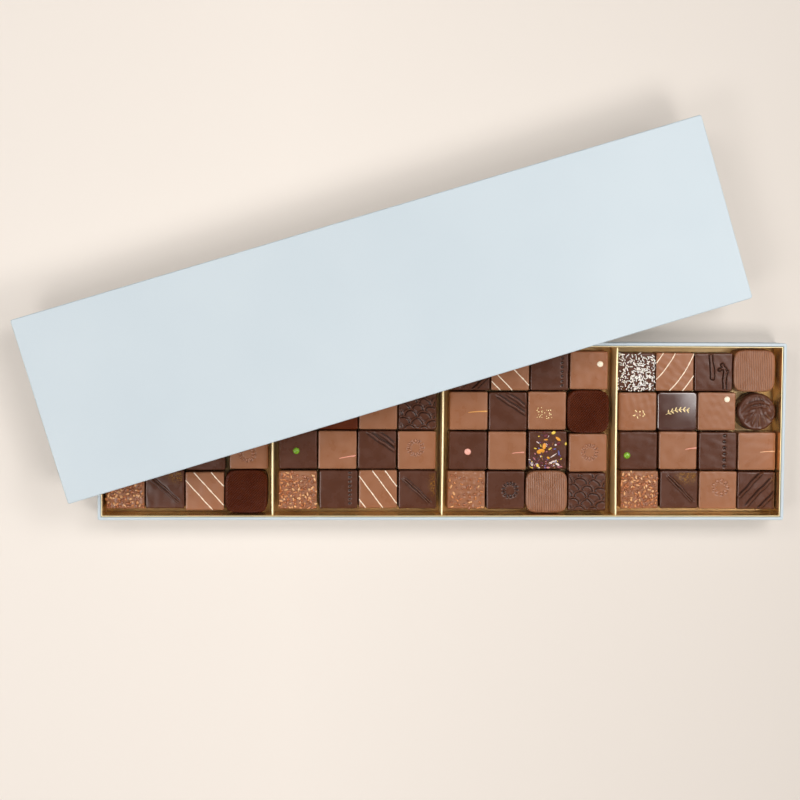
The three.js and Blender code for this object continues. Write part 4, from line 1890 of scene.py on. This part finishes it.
def coconut() -> Praline:
    """A dark praline under coconut slivers."""
    slivers = Strewn(Topping.COCONUT, 250, (0.3, 1.3), (0.18, 0.36), (0.15, 0.28), 0.5, (12.3, 12.3),
                     lift=0.9, bare=0.95)
    return Praline("coconut", Chocolate.DARK, decoration=slivers)


THREE_RIDGES = (5.3, -2.1, -9.7)
SLANTED_DRIZZLE = (-4.3, 2.9, 11.0)
STEEP_DRIZZLE = (-13.4, -4.6, 4.2, 10.7)
NEAR_DRIZZLE = (-13.0, -7.4, 2.5)
BOWED_DRIZZLE = (13.9, 7.0, -4.3, -10.5)


def layout() -> dict[str, list[Praline]]:
    """What lies where, row by row; the key is the compartment's letter and the row from the back.

    Returns:
        The rows, each from the left.
    """
    milk, dark, bitter = Chocolate.MILK, Chocolate.DARK, Chocolate.BITTER
    return {
        "a1": [plain(dark), dot("cream_dot", 6.8, 7), plain(dark),
               dash("pale_dash", (2, -1), (11, -0.5))],
        "a2": [dash("pale_dash", (2, -1), (11, 0)), plain(dark), dot("cream_dot", 7, 6), plain(dark)],
        "a3": [dot("green_dot", -5, -2), plain(milk), plain(dark), beads(milk, -1.4, -2.2)],
        "a4": [nuts(125, 41), dusted(-42, -0.2, (7.5, 9), (5.5, 4.5)), drizzled(-48, SLANTED_DRIZZLE),
               combed(bitter, 47)],
        "b1": [plain(dark), plain(milk), dot("pink_dot", 0, 0), dot("cream_dot", 6.8, 7)],
        "b2": [plain(milk), plain(bitter), plain(milk), quilted()],
        "b3": [dot("green_dot", -1, -0.7), dash("pink_dash", (1.1, -5.5), (11.7, -3.5)),
               forked(-35, (5.9, 9.3)), beads(milk, -1.1, 1.9)],
        "b4": [nuts(125, 42), bead_column(7.1, 11, 8, 2.8), drizzled(-53.5, STEEP_DRIZZLE),
               dusted(-43, -0.9, (11, 4), (3.6, 8))],
        "c1": [forked(47, THREE_RIDGES), drizzled(-46, NEAR_DRIZZLE), bead_column(8, 11.5, 8, 2.9),
               dot("cream_dot", 7, 4.1)],
        "c2": [dash("gold_dash", (-0.3, -1), (11.9, -0.1)), forked(-34, (4.7, 8.9)),
               gold_leaf(26, (-1.7, -1.4), (5.4, 3.6), (0.2, 0.6)), combed(bitter, 50)],
        "c3": [dot("pink_dot", -0.1, -0.7), dash("pink_dash", (3.1, -1.7), (10.9, -0.9)),
               Praline("petals", dark, decoration=Petals()), beads(milk, 1, 0.7)],
        "c4": [nuts(44, 43), beads(dark, 2.8, 0.3, 13), combed(milk, 90), quilted()],
        "d1": [coconut(), drizzled(55, BOWED_DRIZZLE, -0.9),
               Praline("drips", dark, decoration=Sculpted(drips)), combed(milk, 90)],
        "d2": [gold_leaf(9, (1, -1.7), (3.8, 2.4), (0.6, 1.3)),
               Praline("plaque", Chocolate.GLOSSY, MOULDED, Sprig()), dot("cream_dot", 6.5, 7.8),
               Praline("wrinkled", dark, ROUND, Sculpted(wrinkles))],
        "d3": [dot("green_dot", -7.3, -3.1), dash("pink_dash", (4.7, 0.7), (11.9, 1.9)),
               bead_column(4.2, 10, 6, 3.9, 1.15), dash("pale_dash", (2.1, -0.6), (11.5, 0.1))],
        "d4": [nuts(125, 44), dusted(-46, 0.8, (5.5, 8.5), (7, 4.5)), beads(milk, 1.6, 2.1, 9, 0.95),
               forked(47, THREE_RIDGES)],
    }


STUCK = {"a1": 4, "a2": 4, "a3": 2, "b1": 4}


@dataclass
class PralineFilling:
    """All sixty-four pralines in their four compartments, and what is strewn on them."""

    shop: Workshop
    press: TreePress
    store: Store = field(default_factory=Store)
    stuck_by: float = 0.12
    comb_lines: int = 23
    comb_depth: float = 0.8

    def build(self) -> None:
        """Builds the bodies row by row, then each kind of topping as one piece."""
        for key, row in layout().items():
            stuck = STUCK.get(key, 0)
            if stuck:
                self.build_stuck(key, row[:stuck])
            for column in range(stuck, len(row)):
                label = f"{key}{column + 1}"
                praline = row[column]
                node = f"{praline.kind}_{label}"
                self.build_one(praline, label, node, read_seat(node))
        self.build_grains()
        self.build_lines()

    def build_one(self, praline: Praline, label: str, node: str, seat: Seat) -> None:
        """Builds one praline that stands alone.

        Args:
            praline: the praline.
            label: its place.
            node: its solid's node.
            seat: where it stands.
        """
        height = body_height(label, praline.form)
        skin = praline.skin(label, height).moved(seat.x, seat.y, seat.foot, seat.turn)
        material = self.shop.material(praline.chocolate.finish)
        mesh = skin.mesh(node, [material])
        if praline.comb is not None:
            across = math.radians(praline.comb - 90)
            mesh = self.press.press(node, mesh, self.press.tree("comb", CombTree()), {
                "Material": material,
                "Pitch": praline.form.width / self.comb_lines * MM,
                "Depth": self.comb_depth * MM,
                "Sharpness": 1.0 if praline.chocolate is Chocolate.BITTER else 2.8,
                "Top": (seat.foot + height) * MM,
                "Across": (math.cos(across), math.sin(across), 0.0),
                "Middle": (seat.x * MM, seat.y * MM, 0.0),
            })
        praline.decoration.lay(Top(self.store, seat, praline.form, height, self.random(label)))
        self.shop.piece(f"praline_{node}", mesh, praline.chocolate.slot, [node])

    def build_stuck(self, key: str, row: Sequence[Praline]) -> None:
        """Builds the hidden pralines that stick together at the foot.

        Args:
            key: their row.
            row: the pralines.
        """
        node = f"stuck_{len(row)}_{key}"
        low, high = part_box(node)
        chocolates = [Chocolate.DARK, Chocolate.MILK]
        skins = []
        for column, praline in enumerate(row):
            label = f"{key}{column + 1}"
            x = low.x / MM + SQUARE.width / 2 + column * (SQUARE.width - self.stuck_by)
            seat = Seat(x, (low.y + high.y) / (2 * MM), low.z / MM, 0.0)
            height = body_height(label, praline.form)
            skin = praline.skin(label, height).moved(seat.x, seat.y, seat.foot)
            skin.paint = [chocolates.index(praline.chocolate)] * len(skin.faces)
            skins.append(skin)
            praline.decoration.lay(Top(self.store, seat, praline.form, height, self.random(label)))
        materials = [self.shop.material(c.finish) for c in chocolates]
        mesh = joined(skins).mesh(node, materials)
        self.shop.piece(f"pralines_{node}", mesh, "dark_chocolate", [node])

    def random(self, label: str) -> np.random.Generator:
        """The praline's own source of random numbers."""
        return np.random.default_rng([ord(c) for c in label])

    def build_grains(self) -> None:
        """Makes each kind of grain, chip or drop as one piece."""
        shapes = {
            Topping.NUTS: (GrainShape.CHUNK, 0.55, 0.8),
            Topping.PETALS: (GrainShape.CHUNK, 0.5, 0.9),
            Topping.LEAF: (GrainShape.CHUNK, 0.15, 0.5),
            Topping.COCONUT: (GrainShape.SLIVER, 0.35, 1.2),
        }
        for topping, grains in self.store.grains.items():
            shape, unevenness, lump = shapes.get(topping, (GrainShape.BALL, 0.12, 2.0))
            mesh = bpy.data.meshes.new("grain_points")
            mesh.from_pydata([tuple(v * MM for v in g[0]) for g in grains], [], [])
            for key, part, unit in (("grain_size", 1, MM), ("grain_turn", 2, 1.0), ("tint", 3, 1.0)):
                mark(mesh, key, np.array([g[part] for g in grains], np.float32) * unit)
            name = topping.finish.name
            tree = self.press.tree(shape.name, StrewnTree(shape))
            solid = self.press.press(name, mesh, tree, {
                "Material": self.shop.material(topping.finish),
                "Unevenness": unevenness * MM, "Lump size": lump * MM})
            self.shop.piece(f"{name}_strewn", solid, topping.slot)

    def build_lines(self) -> None:
        """Makes each kind of line as one piece."""
        for topping, lines in self.store.lines.items():
            points, edges, radii = [], [], []
            for path, widths in lines:
                first = len(points)
                points.extend(tuple(v * MM for v in p) for p in path)
                edges.extend((first + i, first + i + 1) for i in range(len(path) - 1))
                radii.extend(w * MM for w in widths)
            mesh = bpy.data.meshes.new("line_points")
            mesh.from_pydata(points, edges, [])
            mark(mesh, "line_radius", np.array(radii, np.float32))
            name = topping.finish.name
            solid = self.press.press(name, mesh, self.press.tree("lines", LineTree()), {
                "Material": self.shop.material(topping.finish), "Section corners": 10})
            self.shop.piece(f"{name}_lines", solid, topping.slot)


# The studio


class Seen(Enum):
    """What a lamp does: it lights surfaces, shows in their shine, or both."""

    LIGHT = "lights matt surfaces only"
    SHINE = "shows in shiny surfaces only"
    BOTH = "does both"


@dataclass(frozen=True)
class Softbox:
    """A flat lamp that faces the table or looks at the box."""

    name: str
    place: tuple[float, float, float]
    size: tuple[float, float]
    power: float
    seen: Seen = Seen.BOTH
    faces_down: bool = False

    def build(self) -> None:
        """Hangs the lamp."""
        data = bpy.data.lights.new(self.name, "AREA")
        data.shape = "RECTANGLE"
        data.size, data.size_y = self.size
        data.energy = self.power
        light = add_to_scene(self.name, data)
        light.location = self.place
        if not self.faces_down:
            light.rotation_euler = (-Vector(self.place)).to_track_quat("-Z", "Y").to_euler()
        light.visible_glossy = self.seen is not Seen.LIGHT
        light.visible_diffuse = self.seen is not Seen.SHINE


SOFTBOXES = (
    Softbox("front_left_softbox", (-0.62, -0.42, 1.2), (0.46, 0.42), 4.8, Seen.BOTH, True),
    Softbox("front_right_softbox", (0.46, -0.38, 1.2), (0.46, 0.42), 7.0, Seen.LIGHT, True),
    Softbox("back_left_softbox", (-0.62, 0.52, 1.2), (0.46, 0.46), 4.0, Seen.BOTH, True),
    Softbox("back_right_softbox", (0.46, 0.52, 1.2), (0.46, 0.46), 5.4, Seen.BOTH, True),
    Softbox("right_softbox", (0.8, 0.28, 0.95), (0.5, 0.5), 2.4),
    Softbox("plaque_softbox", (0.78, 0.3, 1.15), (0.64, 0.7), 8.0, Seen.SHINE, True),
    Softbox("left_softbox", (-0.95, -0.1, 0.7), (0.8, 0.8), 18.0, Seen.SHINE),
)


@dataclass
class Studio:
    """A plain pale table, soft light and the camera of the photograph's view."""

    eye: tuple[float, float, float] = (-0.08235, 0.0868, 1.0752)
    tilt: tuple[float, float, float] = (-3.67, -2.91, 0.38)
    lens: float = 75.0
    table_colour: Colour = linear(219, 209, 199)
    table_half: float = 3.0
    sky: float = 0.17
    sky_colour: Colour = (1.0, 0.985, 0.965)
    sensor: float = 36.0

    def build(self) -> None:
        """Sets up the table, the lights, the surroundings and the camera."""
        self.add_table()
        for softbox in SOFTBOXES:
            softbox.build()
        world = bpy.data.worlds.new("studio")
        world.use_nodes = True
        back = world.node_tree.nodes["Background"]
        Nodes(world.node_tree).fill(back, {"Color": (*self.sky_colour, 1.0), "Strength": self.sky})
        bpy.context.scene.world = world
        bpy.context.scene.view_settings.view_transform = "Standard"
        data = bpy.data.cameras.new("camera")
        data.lens = self.lens
        data.sensor_width = self.sensor
        camera = add_to_scene("camera", data)
        rx, ry, rz = (math.radians(v) for v in self.tilt)
        turn = Matrix.Rotation(rz, 4, "Z") @ Matrix.Rotation(ry, 4, "Y") @ Matrix.Rotation(rx, 4, "X")
        camera.matrix_world = Matrix.Translation(Vector(self.eye)) @ turn
        bpy.context.scene.camera = camera

    def add_table(self) -> None:
        """Adds the table top that the box stands on."""
        half = self.table_half
        corners = [(-half, -half, 0), (half, -half, 0), (half, half, 0), (-half, half, 0)]
        mesh = bpy.data.meshes.new("table")
        mesh.from_pydata(corners, [], [(0, 1, 2, 3)])
        finish = PaperFinish("table_top", self.table_colour, self.table_colour, 0.7, 0.22, 0.2)
        mesh.materials.append(finish.make())
        table = add_to_scene("table", mesh)


def main() -> None:
    """Builds the studio and the object."""
    logging.basicConfig(level=logging.INFO, format="%(message)s")
    Studio().build()
    shop, press = Workshop(), TreePress()
    PaperTray().build(shop)
    GoldLining().build(shop)
    for node, bow, lean in (("divider_1", -0.35, 0.3), ("divider_2", 0.2, 0.1), ("divider_3", -0.3, -0.2)):
        Divider(node, bow, lean).build(shop)
    Lid().build(shop)
    PralineFilling(shop, press).build()


if __name__ == "__main__":
    main()
